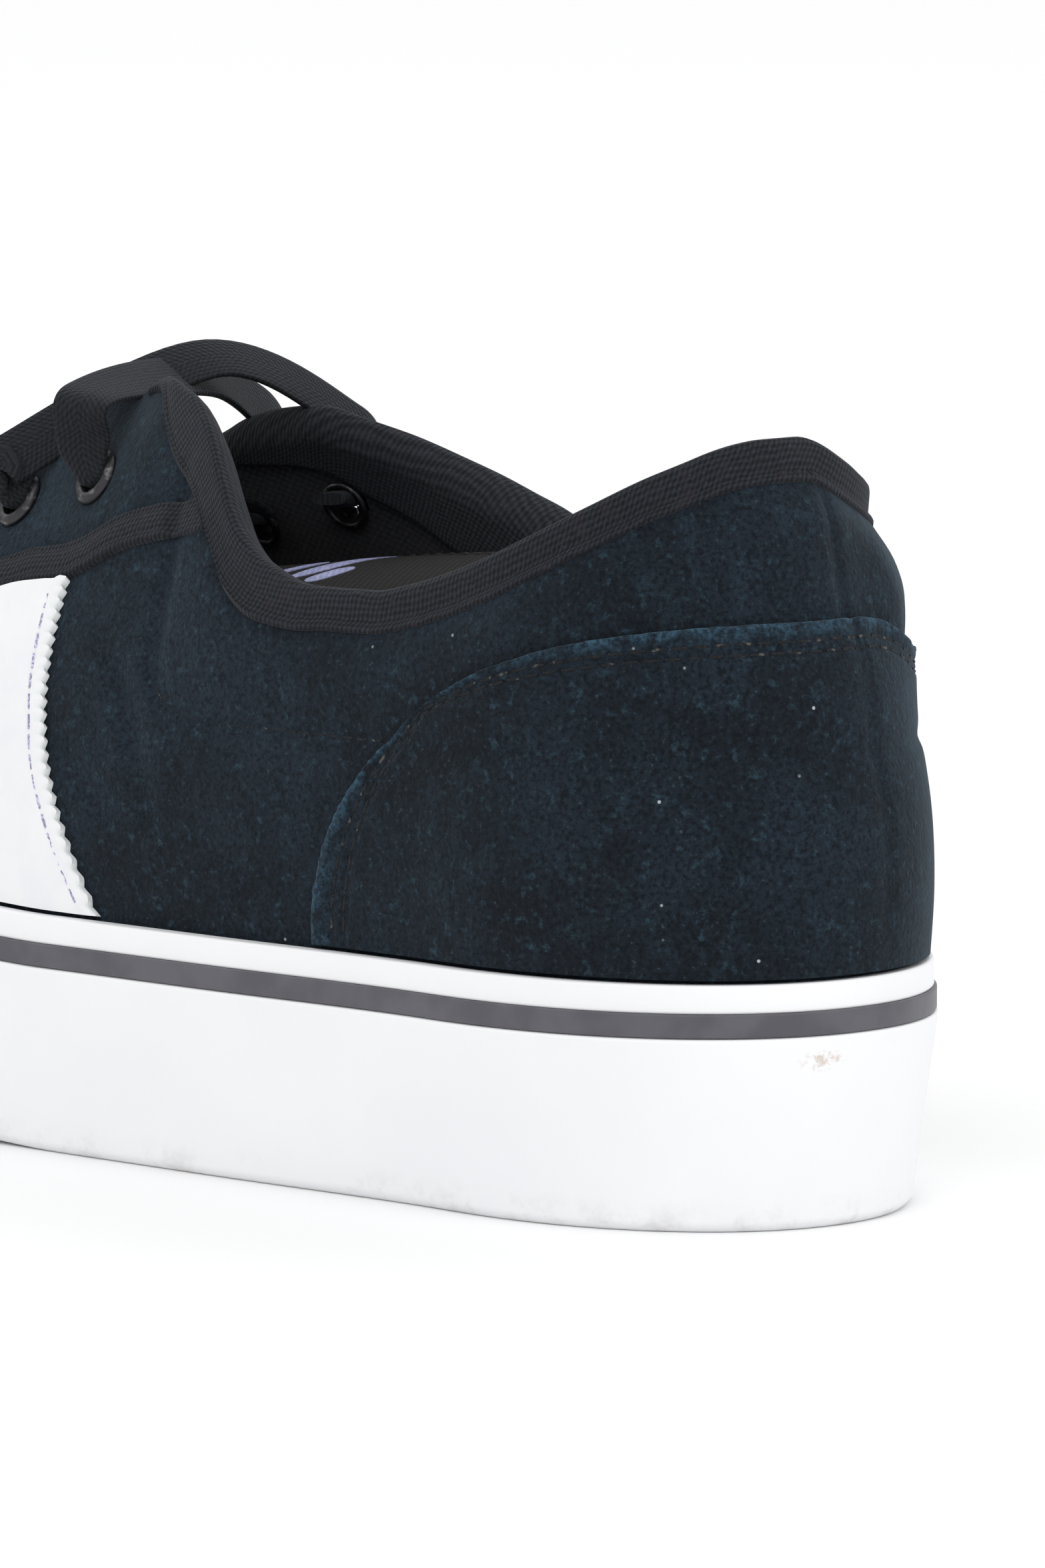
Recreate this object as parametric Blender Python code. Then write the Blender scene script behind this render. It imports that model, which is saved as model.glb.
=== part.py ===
"""Left low-top skateboarding shoe, standing empty on its sole.

Metres, +X to the toe, +Y to the outer (lateral) side of a left foot, +Z up. The origin is under the
middle of the shoe's box, on the floor. Every form is worked out from one plan outline, the widest line
of the rubber side band, and from one function for the surface of the upper, upper_point.
"""
import math
from collections import namedtuple

import bmesh
import bpy
import numpy as np
from mathutils import Vector

MM = 0.001

# Driving sizes
LENGTH = 292 * MM            # sole, heel to toe, at its widest line
BALL_WIDTH = 104 * MM        # sole across the ball
HEEL_WIDTH = 69.6 * MM       # sole across the heel
HEEL_HEIGHT = 98.5 * MM      # top of the upper at the back seam
INSTEP_HEIGHT = 111 * MM     # crest of the last over the top corner of the throat
TOE_SPRING = 10 * MM
ARCH_LIFT = 0.8 * MM
HEEL_ROUND = 47 * MM         # length of the rounded heel end of the outline
TOE_ROUND = 82 * MM
HEEL_POWER = 2.1
TOE_POWER = 2.2

# Rubber sole and side band
BAND_HEIGHT = 25.6 * MM      # main white band
STRIPE_HEIGHT = 3.1 * MM     # dark line above it
TOP_BAND_HEIGHT = 3.7 * MM   # thin white band above the line
BAND_WALL = 3.0 * MM
BAND_TAPER = 3.5 * MM        # how far the band leans in at the floor
BAND_DROP = 0.16             # share of its height that the band loses towards the toe
FLOOR_BEVEL = 0.8 * MM
STRIPE_DEPTH = 1.3 * MM      # groove that the dark line sits in
TOP_BAND_STEP = 0.6 * MM     # top band set back from the widest line
TUCK = 3.8 * MM              # how far the band's inner face leans in at the floor
TUCK_HEIGHT = 20 * MM
HEEL_PLATFORM = 17 * MM      # footbed of the sole under the heel
FOREFOOT_PLATFORM = 12 * MM
INSOLE_THICKNESS = 4 * MM

# Upper
WALL = 2.0 * MM
PADDING = 2.4 * MM           # extra thickness of the padded collar
PAD_DEPTH = 26 * MM          # how far the padding reaches below the rim
PAD_SOFT = 7 * MM            # length over which the padding thickens
BELLY = 1.2 * MM             # how far the wall swells out over the side band
BELLY_HEIGHT = 45 * MM
ACHILLES_CURVE = 3.0 * MM    # how far the back of the heel leans in over its padding
MEDIAL_SAG = 4.0 * MM        # inner eyestay sits lower than the outer one
HEEL_SPINE = 40 * MM         # centre that the heel's sections turn round
TOE_SPINE = 56 * MM          # the same at the toe, measured back from the tip
THROAT_FRONT = 199 * MM
THROAT_ROUND = 10 * MM
THROAT_HALF_GAP = 15.5 * MM
CORNER_ROUND = 0.02          # softness of the eyestay's top corner, as an angle

# Overlays, bindings and trim
FIT = 0.35 * MM              # gap between neighbouring pieces
COUNTER_THICKNESS = 1.3 * MM
COUNTER_LENGTH = 69 * MM
COUNTER_HEIGHT = 77 * MM
COUNTER_POWER = 2.1          # squareness of the counter's quarter-round edge
COUNTER_FIT = 0.7 * MM       # the counter bends round the tight heel, so it stands a little freer
PANEL_THICKNESS = 1.1 * MM
PANEL_REAR = 123 * MM
PANEL_FRONT = 164 * MM
PANEL_FLARE = 13 * MM        # how far the rear edge runs back at the sole
PANEL_SLANT = 16 * MM        # how far the front edge runs forward at the sole
TAPE_THICKNESS = 0.9 * MM
TAPE_WIDTH = 5.6 * MM
EYESTAY_WIDTH = 20.5 * MM    # from the throat's edge down to the tape
BINDING_THICKNESS = 1.0 * MM
BINDING_FIT = 0.6 * MM       # the binding folds over a steep rim, so it stands a little freer
BINDING_WIDTH = 5.0 * MM
BINDING_FRONT_WIDTH = 7.0 * MM
COLLAR_FRONT = 102 * MM      # foot of the collar's steep front edge
CORNER = 116 * MM            # top corner of the eyestays, where the binding ends
TAPE_FRONT = 176 * MM

# Tongue, eyelets and lace
TONGUE_THICKNESS = 3.2 * MM
TONGUE_FRONT = 210 * MM
TONGUE_BACK = 74 * MM
TONGUE_HALF_WIDTH = 25 * MM
TONGUE_FIT = 0.45 * MM       # gap under the vamp that the tongue's front end is sewn to
EYELET_PAIRS = 5
EYELET_PITCH = 17.2 * MM     # measured along the shoe
FIRST_EYELET = 123 * MM
EYELET_EDGE = 9.2 * MM       # eyelet centre in from the throat's edge
EYELET_RADIUS = 4.1 * MM
EYELET_HOLE = 2.2 * MM
EYELET_BARREL = 2.7 * MM
EYELET_RISE = 1.2 * MM
LACE_WIDTH = 8.0 * MM
LACE_THICKNESS = 1.4 * MM
LACE_ARCH = 15 * MM          # height of the loose top crossing over the eyestays
LACE_ARCH_LOWER = 5 * MM
LACE_TAIL = 3 * MM           # how far a strand's end covers its eyelet
LACE_OVERLAP = 0.7 * MM      # how much higher the upper strand of a crossing runs
LACE_STEPS = 4

COLLAR_CLOSE = 16 * MM       # how far the closer sections reach at the collar's front
THROAT_CLOSE = 12 * MM
COLUMNS = 34                 # sections down each side of the shoe
WALL_ROWS = 9                # rows up the wall of the upper

# Plan outline: share of the length, weight of the heel's and the ball's half width, sideways swing of
# the middle line and of the crest of the last as shares of the ball width
Plan = namedtuple("Plan", "along heel ball swing crest")
PLAN = [
    Plan(0.00, 1.00, 0.00, 0.000, 0.000),
    Plan(0.15, 1.00, 0.00, 0.000, 0.000),
    Plan(0.30, 0.85, 0.14, 0.018, 0.012),
    Plan(0.45, 0.60, 0.35, 0.032, 0.018),
    Plan(0.60, 0.20, 0.75, 0.030, 0.012),
    Plan(0.72, 0.00, 0.99, 0.002, -0.006),
    Plan(0.82, 0.00, 0.97, -0.024, -0.030),
    Plan(0.92, 0.00, 0.90, -0.050, -0.050),
    Plan(1.00, 0.00, 0.84, -0.068, -0.066),
]

# Crest of the last: share of the length, height as a share of the instep, roundness of the section
Crest = namedtuple("Crest", "along height power")
CREST = [
    Crest(0.00, 1.13, 2.7),
    Crest(0.15, 1.10, 2.7),
    Crest(0.30, 1.04, 2.6),
    Crest(0.38, 1.00, 2.4),
    Crest(0.43, 0.93, 2.3),
    Crest(0.50, 0.84, 2.3),
    Crest(0.58, 0.73, 2.2),
    Crest(0.66, 0.63, 2.2),
    Crest(0.74, 0.57, 2.4),
    Crest(0.82, 0.53, 2.7),
    Crest(0.90, 0.51, 2.9),
    Crest(1.00, 0.50, 2.9),
]

# Rim of the collar: share of the length, heights of the outer and inner side as shares of the heel
Rim = namedtuple("Rim", "along lateral medial")
RIM = [
    Rim(0.000, 1.000, 1.000),
    Rim(0.050, 0.985, 0.985),
    Rim(0.096, 0.930, 0.930),
    Rim(0.127, 0.880, 0.880),
    Rim(0.158, 0.825, 0.828),
    Rim(0.190, 0.777, 0.785),
    Rim(0.220, 0.752, 0.764),
    Rim(0.250, 0.752, 0.775),
    Rim(0.280, 0.775, 0.815),
    Rim(0.300, 0.810, 0.845),
    Rim(0.316, 0.865, 0.865),
    Rim(0.335, 0.930, 0.890),
    Rim(0.355, 0.985, 0.912),
    Rim(0.375, 1.020, 0.934),
    Rim(0.400, 1.060, 0.965),
    Rim(0.450, 1.150, 1.040),
    Rim(1.000, 1.300, 1.300),
]

# Tongue: share of its length from the front, height as a share of the instep, half width as a share of
# its widest, droop of its edges as a share of its half width
Tongue = namedtuple("Tongue", "along height width droop")
TONGUE = [
    Tongue(0.00, 0.600, 0.84, 0.17),
    Tongue(0.15, 0.560, 0.88, 0.22),
    Tongue(0.35, 0.590, 0.94, 0.23),
    Tongue(0.60, 0.638, 1.00, 0.16),
    Tongue(0.85, 0.664, 0.96, 0.09),
    Tongue(0.93, 0.666, 0.88, 0.06),
    Tongue(0.98, 0.665, 0.70, 0.04),
    Tongue(1.00, 0.664, 0.45, 0.03),
]


def smooth(value, start, end):
    """0 before start, 1 after end, with a soft turn at both."""
    t = min(1.0, max(0.0, (value - start) / (end - start)))
    return t * t * (3 - 2 * t)


def read_table(rows, column, along):
    """Value of one column at a share along the table, on a smooth curve through its rows."""
    xs = [row.along for row in rows]
    ys = [getattr(row, column) for row in rows]
    along = min(max(along, xs[0]), xs[-1])
    i = min(max(np.searchsorted(xs, along) - 1, 0), len(xs) - 2)
    steps = [(ys[j + 1] - ys[j]) / (xs[j + 1] - xs[j]) for j in range(len(xs) - 1)]

    def slope(j):
        if j == 0 or j == len(steps):
            return steps[min(j, len(steps) - 1)]
        if steps[j - 1] * steps[j] <= 0:
            return 0.0
        return 2 * steps[j - 1] * steps[j] / (steps[j - 1] + steps[j])

    span = xs[i + 1] - xs[i]
    t = (along - xs[i]) / span
    return ((2 * t**3 - 3 * t**2 + 1) * ys[i] + (t**3 - 2 * t**2 + t) * span * slope(i)
            + (3 * t**2 - 2 * t**3) * ys[i + 1] + (t**3 - t**2) * span * slope(i + 1))


# The plan outline. Lengths along the shoe run from the back of the heel, here and below.

def half_width(along):
    share = along / LENGTH
    full = (read_table(PLAN, "heel", share) * HEEL_WIDTH + read_table(PLAN, "ball", share) * BALL_WIDTH) / 2
    heel = min(1.0, along / HEEL_ROUND)
    toe = min(1.0, (LENGTH - along) / TOE_ROUND)
    heel_end = (1 - (1 - heel) ** HEEL_POWER) ** (1 / HEEL_POWER)
    toe_end = (1 - (1 - toe) ** TOE_POWER) ** (1 / TOE_POWER)
    return full * heel_end * toe_end


def middle(along):
    return read_table(PLAN, "swing", along / LENGTH) * BALL_WIDTH


def crest_side(along):
    return read_table(PLAN, "crest", along / LENGTH) * BALL_WIDTH


def station_lengths():
    """Where the sections stand: close together at both ends, the collar's front and the throat's end."""
    angles = np.linspace(0, math.pi, 2001)
    along = LENGTH * (1 - np.cos(angles)) / 2
    weight = (1 + 1.3 * np.exp(-((along - COLLAR_FRONT) / COLLAR_CLOSE) ** 2)
              + 0.9 * np.exp(-((along - THROAT_FRONT) / THROAT_CLOSE) ** 2))
    total = np.concatenate([[0], np.cumsum((weight[1:] + weight[:-1]) / 2)])
    picks = np.interp(np.linspace(0, total[-1], COLUMNS + 1), total, angles)
    lengths = [float(LENGTH * (1 - math.cos(a)) / 2) for a in picks]
    nearest = min(range(len(lengths)), key=lambda i: abs(lengths[i] - CORNER))
    lengths[nearest] = CORNER
    return lengths


Column = namedtuple("Column", "along side x y out_x out_y")


def column_at(along, side):
    """Point of the widest line at a length along one side, with its outward direction."""
    near = 0.05 * MM
    y = middle(along) + side * half_width(along)
    if along < near:
        return Column(along, side, along, y, -1, 0)
    if along > LENGTH - near:
        return Column(along, side, along, y, 1, 0)
    before = middle(along - near) + side * half_width(along - near)
    after = middle(along + near) + side * half_width(along + near)
    slope = (after - before) / (2 * near)
    size = math.hypot(1, slope)
    return Column(along, side, along, y, -slope * side / size, side / size)


def outline_columns():
    """The shared sections, from the heel round the outer side, the toe and the inner side."""
    lengths = station_lengths()
    return [column_at(a, 1) for a in lengths] + [column_at(a, -1) for a in reversed(lengths[1:-1])]


COLS = outline_columns()
CENTRE_X = LENGTH / 2
CENTRE_Y = (max(c.y for c in COLS) + min(c.y for c in COLS)) / 2


def place(x, y, z):
    """From lengths measured at the heel to the part's own frame."""
    return (x - CENTRE_X, y - CENTRE_Y, z)


def spring(along):
    """Height of the sole's underside: flat under heel and ball, lifted at the waist and the toe."""
    waist = smooth(along / LENGTH, 0.40, 0.48) * (1 - smooth(along / LENGTH, 0.54, 0.62))
    toe = max(0.0, along / LENGTH - 0.78) / 0.22
    return ARCH_LIFT * waist + TOE_SPRING * toe ** 1.8


def level(along, height):
    """A height on the side band, which gets lower towards the toe, on the sprung sole."""
    return spring(along) + height * (1 - BAND_DROP * smooth(along / LENGTH, 0.50, 0.85))


def platform(along):
    drop = smooth(along / LENGTH, 0.25, 0.65)
    return spring(along) + HEEL_PLATFORM + (FOREFOOT_PLATFORM - HEEL_PLATFORM) * drop


def band_top(along):
    return level(along, BAND_HEIGHT + STRIPE_HEIGHT + TOP_BAND_HEIGHT) + FIT


def band_inner(height):
    """Offset of the side band's inner face from the widest line."""
    return -BAND_WALL - TUCK * max(0.0, 1 - height / TUCK_HEIGHT)


def offset_point(col, offset, height):
    x = col.x + col.out_x * offset
    y = col.y + col.out_y * offset
    return x, y, height


# The surface of the upper

def spine(col):
    """Point of the crest line that a column's section ends on, and the crest's height there."""
    along = min(max(col.along, HEEL_SPINE), LENGTH - TOE_SPINE)
    height = read_table(CREST, "height", along / LENGTH) * INSTEP_HEIGHT
    if col.side < 0:
        near = smooth(along, CORNER / 2, CORNER)
        near *= 1 - smooth(along, CORNER, THROAT_FRONT - THROAT_ROUND)
        height -= MEDIAL_SAG * near
    return along, crest_side(along), height


def section(col):
    """Foot, crest and roundness of a column's section."""
    foot = offset_point(col, -BAND_WALL - FIT, 0)
    top = spine(col)
    power = read_table(CREST, "power", top[0] / LENGTH)
    base = platform(col.along) + FIT
    return foot, top, power, base


def upper_point(col, angle, depth=0.0):
    """Point of the upper at a column. angle runs from 0 at the sole to 90 degrees at the crest,
    and depth is how far inside the outer face the point lies."""
    foot, top, power, base = section(col)
    reach_x, reach_y = foot[0] - top[0], foot[1] - top[1]
    reach = math.hypot(reach_x, reach_y)
    height = base + (top[2] - depth - base) * math.sin(angle) ** (2 / power)
    wide = (reach - depth) * max(0.0, math.cos(angle)) ** (2 / power)
    above = min(1.0, max(0.0, (height - band_top(col.along)) / BELLY_HEIGHT))
    wide += BELLY * math.sin(math.pi * above)
    wide -= TUCK * max(0.0, 1 - (height - spring(col.along)) / TUCK_HEIGHT)
    heel = math.exp(-(col.along / (HEEL_ROUND / 3)) ** 2)
    wide -= ACHILLES_CURVE * heel * smooth(height, HEEL_HEIGHT / 2, HEEL_HEIGHT * 0.85)
    if angle >= math.pi / 2 - 1e-9:
        wide = 0.0
    return (top[0] + reach_x / reach * wide, top[1] + reach_y / reach * wide, height)


def angle_at_height(col, height):
    foot, top, power, base = section(col)
    share = min(1.0, max(0.0, (height - base) / (top[2] - base)))
    return math.asin(share ** (power / 2))


def angle_at_gap(col, gap):
    foot, top, power, base = section(col)
    reach = math.hypot(foot[0] - top[0], foot[1] - top[1])
    return math.acos(min(1.0, gap / reach) ** (power / 2))


def angle_below(col, angle, distance):
    """Angle of the point a distance down the wall from another."""
    step = math.radians(0.5)
    here = Vector(upper_point(col, angle))
    while distance > 0 and angle > step:
        below = Vector(upper_point(col, angle - step))
        length = (below - here).length
        if length > distance:
            return angle - step * distance / length
        distance -= length
        angle -= step
        here = below
    return angle


def throat_gap(along):
    """Half width of the throat between the eyestays, closing in a round end at the front."""
    taper = THROAT_HALF_GAP * (1 - 0.42 * smooth(along, CORNER, THROAT_FRONT))
    if along >= THROAT_FRONT:
        return 0.0
    end = max(0.0, 1 - (THROAT_FRONT - along) / THROAT_ROUND)
    return taper * math.sqrt(1 - end * end)


def closed_vamp(col):
    return throat_gap(col.along) == 0.0


def rim_height(col):
    column = "lateral" if col.side > 0 else "medial"
    return read_table(RIM, column, col.along / LENGTH) * HEEL_HEIGHT


def rim_angle(col):
    collar = angle_at_height(col, rim_height(col))
    throat = angle_at_gap(col, throat_gap(col.along))
    if closed_vamp(col) or abs(collar - throat) > 8 * CORNER_ROUND:
        return min(collar, throat)
    return -CORNER_ROUND * math.log(math.exp(-collar / CORNER_ROUND) + math.exp(-throat / CORNER_ROUND))


def wall_depth(col, angle):
    """Thickness of the upper's wall: padded under the collar's rim, thin at the sole and the vamp."""
    rim = upper_point(col, rim_angle(col))[2]
    below = rim - upper_point(col, angle)[2]
    in_collar = 1 - smooth(col.along, COLLAR_FRONT - PAD_SOFT, COLLAR_FRONT + 2 * PAD_SOFT)
    pad = smooth(below, -PAD_SOFT, PAD_SOFT) * (1 - smooth(below, PAD_DEPTH * 0.5, PAD_DEPTH))
    return WALL + PADDING * pad * in_collar


# Building solids

def material(name, colour, roughness, metallic=0.0):
    made = bpy.data.materials.new(name)
    made.use_nodes = True
    shader = made.node_tree.nodes["Principled BSDF"]
    shader.inputs["Base Color"].default_value = (*colour, 1)
    shader.inputs["Roughness"].default_value = roughness
    shader.inputs["Metallic"].default_value = metallic
    return made


def solid(name, points, faces, finish, collection, smooth_angle=40):
    """Closed object from points at the heel's measure, with doubled points joined."""
    mesh = bpy.data.meshes.new(name)
    mesh.from_pydata([place(*p) for p in points], [], faces)
    work = bmesh.new()
    work.from_mesh(mesh)
    bmesh.ops.remove_doubles(work, verts=work.verts, dist=0.002 * MM)
    bmesh.ops.dissolve_degenerate(work, edges=work.edges, dist=0.001 * MM)
    bmesh.ops.recalc_face_normals(work, faces=work.faces)
    work.to_mesh(mesh)
    work.free()
    mesh.shade_smooth()
    mesh.set_sharp_from_angle(angle=math.radians(smooth_angle))
    mesh.materials.append(finish)
    made = bpy.data.objects.new(name, mesh)
    collection.objects.link(made)
    return made


def bridge(count, size, closed):
    """Faces between neighbouring closed sections of the same number of points."""
    faces = []
    for i in range(count if closed else count - 1):
        a, b = i * size, (i + 1) % count * size
        for j in range(size):
            k = (j + 1) % size
            faces.append((a + j, b + j, b + k, a + k))
    return faces


def swept(name, sections, finish, collection, closed=False):
    """Solid through a row of sections, closed round the shoe or capped at both ends."""
    size = len(sections[0])
    points = [p for s in sections for p in s]
    faces = bridge(len(sections), size, closed)
    if not closed:
        faces.append(tuple(reversed(range(size))))
        faces.append(tuple(range(len(points) - size, len(points))))
    return solid(name, points, faces, finish, collection)


def slab(name, loops, finish, collection):
    """Solid through level loops round the shoe, its two end faces laid in strips across."""
    count = len(COLS)
    points = [p for loop in loops for p in loop]
    faces = []
    for k in range(len(loops) - 1):
        for i in range(count):
            j = (i + 1) % count
            faces.append((k * count + i, k * count + j, (k + 1) * count + j, (k + 1) * count + i))
    for start in (0, (len(loops) - 1) * count):
        for i in range(COLUMNS):
            ring = [i, i + 1, (count - i - 1) % count, (count - i) % count]
            faces.append(tuple(start + p for p in dict.fromkeys(ring)))
    return solid(name, points, faces, finish, collection)


# Sole

def make_outsole(finish, collection):
    loops = []
    for inset, height in ((FLOOR_BEVEL, None), (0.0, FLOOR_BEVEL), (0.0, 1.0)):
        loop = []
        for col in COLS:
            top = platform(col.along) - spring(col.along)
            rise = 0.0 if height is None else (top if height == 1.0 else height)
            x, y, z = offset_point(col, band_inner(rise) - FIT - inset, 0)
            loop.append((x, y, spring(col.along) + rise))
        loops.append(loop)
    return slab("outsole", loops, finish, collection)


def band_section(col, corners):
    """Section of a band at a column from offsets and heights measured up from the underside."""
    points = []
    for offset, height in corners:
        x, y, z = offset_point(col, offset, 0)
        points.append((x, y, level(col.along, height)))
    return points


def make_side_band(finish, collection):
    stripe_low = BAND_HEIGHT
    stripe_high = stripe_low + STRIPE_HEIGHT
    top = stripe_high + TOP_BAND_HEIGHT
    corners = [
        (-BAND_TAPER - FLOOR_BEVEL, 0),
        (-BAND_TAPER, FLOOR_BEVEL),
        (0, stripe_low - 0.4 * MM),
        (-0.3 * MM, stripe_low),
        (-STRIPE_DEPTH, stripe_low),
        (-STRIPE_DEPTH, stripe_high),
        (-TOP_BAND_STEP, stripe_high),
        (-TOP_BAND_STEP, top - 0.7 * MM),
        (-TOP_BAND_STEP - 0.6 * MM, top),
        (-BAND_WALL, top),
        (-BAND_WALL, TUCK_HEIGHT),
        (band_inner(0), 0),
    ]
    return swept("side_band", [band_section(c, corners) for c in COLS], finish, collection, closed=True)


def make_stripe(finish, collection):
    low = BAND_HEIGHT + FIT
    high = BAND_HEIGHT + STRIPE_HEIGHT - FIT
    corners = [(-STRIPE_DEPTH + FIT, low), (-0.15 * MM, low), (-0.15 * MM, high), (-STRIPE_DEPTH + FIT, high)]
    return swept("side_stripe", [band_section(c, corners) for c in COLS], finish, collection, closed=True)


def make_insole(finish, collection):
    """Footbed between the walls, with a low rounded edge."""
    wall = BAND_WALL + TUCK * (1 - FOREFOOT_PLATFORM / TUCK_HEIGHT) + 2 * FIT + WALL
    loops = []
    for inset, rise in ((FIT, 0), (0, 1 * MM), (0, INSOLE_THICKNESS - 1 * MM), (1.5 * MM, INSOLE_THICKNESS)):
        loop = []
        for col in COLS:
            x, y, z = offset_point(col, -wall - 0.4 * MM - inset, 0)
            loop.append((x, y, platform(col.along) + FIT + rise))
        loops.append(loop)
    return slab("insole", loops, finish, collection)


# Upper and its overlays

def upper_section(col):
    rim = rim_angle(col)
    angles = [rim * j / WALL_ROWS for j in range(WALL_ROWS + 1)]
    outer = [upper_point(col, a) for a in angles]
    inner = [upper_point(col, a, wall_depth(col, a)) for a in reversed(angles)]
    return outer + inner


def make_upper(finish, collection, cutters):
    """Hollow upper, open at the collar, the throat and under the foot."""
    sections = [upper_section(c) for c in COLS]
    size = len(sections[0])
    points = [p for s in sections for p in s]
    faces = []
    for i, face in enumerate(bridge(len(sections), size, True)):
        col, rim_face = i // size, i % size == WALL_ROWS
        if rim_face and closed_vamp(COLS[col]) and closed_vamp(COLS[(col + 1) % len(COLS)]):
            continue
        faces.append(face)
    upper = solid("upper", points, faces, finish, collection)
    for index, (centre, out, across) in enumerate(eyelet_places()):
        cut = upper.modifiers.new("eyelet_%d" % index, "BOOLEAN")
        cut.operation = "DIFFERENCE"
        cut.solver = "EXACT"
        cut.object = eyelet_cutter(index, centre, out, cutters)
    return upper


def overlay_section(col, low, high, rows, thickness):
    """Section of a thin piece lying on the upper between two angles of a column."""
    angles = [low + (high - low) * j / rows for j in range(rows + 1)]
    inner = [upper_point(col, a, -FIT) for a in angles]
    outer = [upper_point(col, a, -FIT - thickness) for a in reversed(angles)]
    return inner + outer


def side_columns(side, start, end):
    """Sections of one side between two lengths, heel to toe: the upper's own and one at each end."""
    clear = 1.5 * MM
    found = [c for c in COLS if c.side == side and start + clear <= c.along <= end - clear]
    found.append(column_at(end, side))
    if start > 0:
        found.append(column_at(start, side))
    else:
        found.append(COLS[0])
    return sorted(found, key=lambda c: c.along)


def counter_section(share, side):
    """Section of the counter. Its rows and sections fan out towards the quarter-round front edge."""
    rows = 7
    inner, outer = [], []
    for j in range(rows + 1):
        up = j / rows
        ahead = (share * math.sqrt(1 - up * up / 2)) ** (2 / COUNTER_POWER)
        rise = (up * math.sqrt(1 - share * share / 2)) ** (2 / COUNTER_POWER)
        col = column_at(COUNTER_LENGTH * ahead, side)
        low = band_top(col.along)
        angle = angle_at_height(col, low + (COUNTER_HEIGHT - low) * rise)
        inner.append(upper_point(col, angle, -COUNTER_FIT))
        outer.append(upper_point(col, angle, -COUNTER_FIT - COUNTER_THICKNESS))
    return inner + outer[::-1]


def make_counter(finish, collection):
    steps = 10
    shares = [(i / steps) ** 1.6 for i in range(steps + 1)]
    sections = [counter_section(share, -1) for share in shares[:0:-1]]
    sections += [counter_section(share, 1) for share in shares]
    return swept("heel_counter", sections, finish, collection)


def tape_angles(col):
    """Lower and upper angle of the tape along the foot of the eyestay."""
    throat = angle_at_gap(col, throat_gap(col.along))
    high = angle_below(col, throat, EYESTAY_WIDTH)
    return angle_below(col, high, TAPE_WIDTH), high


def make_panel(name, side, finish, collection):
    """Plain side panel between the tape and the side band, both its ends curved."""
    rows, steps = 6, 5
    sections = []
    for i in range(steps + 1):
        inner, outer = [], []
        for j in range(rows + 1):
            share = j / rows
            rear = PANEL_REAR - PANEL_FLARE * (1 - share) ** 3
            front = PANEL_FRONT + PANEL_SLANT * (1 - share)
            col = column_at(rear + (front - rear) * i / steps, side)
            low = angle_at_height(col, band_top(col.along))
            high = angle_below(col, tape_angles(col)[0], FIT)
            angle = low + (high - low) * share
            inner.append(upper_point(col, angle, -FIT))
            outer.append(upper_point(col, angle, -FIT - PANEL_THICKNESS))
        sections.append(inner + outer[::-1])
    return swept(name, sections, finish, collection)


def make_tape(name, side, finish, collection):
    """Tape from the collar's binding forward along the foot of the eyestay."""
    sections = []
    for col in side_columns(side, COLLAR_FRONT, TAPE_FRONT):
        low, high = tape_angles(col)
        if high + 0.01 < binding_low(col) or sections:
            sections.append(overlay_section(col, low, high, 2, TAPE_THICKNESS))
    return swept(name, sections, finish, collection)


def binding_width(col):
    start = 0.78 if col.side > 0 else 0.84
    front = smooth(col.along, start * COLLAR_FRONT, (start + 0.18) * COLLAR_FRONT)
    return BINDING_WIDTH + (BINDING_FRONT_WIDTH - BINDING_WIDTH) * front


def binding_low(col):
    """Angle of the binding's lower edge."""
    return angle_below(col, rim_angle(col), binding_width(col))


def binding_section(col):
    """Folded tape over the rim: outer leg, rounded top and inner leg, clear of the wall."""
    rim = rim_angle(col)
    low = binding_low(col)
    mid = upper_point(col, rim, wall_depth(col, rim) / 2)
    angles = [low, low + (rim - low) / 3, low + (rim - low) * 2 / 3, rim]
    shell = BINDING_THICKNESS
    lift = BINDING_FIT + shell
    outside = [upper_point(col, a, -lift) for a in angles]
    outside_gap = [upper_point(col, a, -BINDING_FIT) for a in angles]
    inside = [upper_point(col, a, wall_depth(col, a) + lift) for a in angles]
    inside_gap = [upper_point(col, a, wall_depth(col, a) + BINDING_FIT) for a in angles]
    crown = (mid[0], mid[1], mid[2] + lift + 0.5 * MM)
    shoulder_out = raised(outside[-1], mid, 0.75, lift)
    shoulder_in = raised(inside[-1], mid, 0.75, lift)
    lift_out = raised(outside_gap[-1], mid, 1.0, BINDING_FIT)
    lift_in = raised(inside_gap[-1], mid, 1.0, BINDING_FIT)
    return (outside + [shoulder_out, crown, shoulder_in] + inside[::-1] + inside_gap
            + [lift_in, lift_out] + outside_gap[::-1])


def raised(point, mid, share, lift):
    x = mid[0] + (point[0] - mid[0]) * share
    y = mid[1] + (point[1] - mid[1]) * share
    return (x, y, max(point[2], mid[2]) + lift)


def make_binding(finish, collection):
    inner_side = side_columns(-1, 0.0, CORNER)
    outer_side = side_columns(1, 0.0, CORNER)
    sections = [binding_section(c) for c in inner_side[:0:-1] + outer_side]
    return swept("collar_binding", sections, finish, collection)


# Tongue, eyelets and lace

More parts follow.
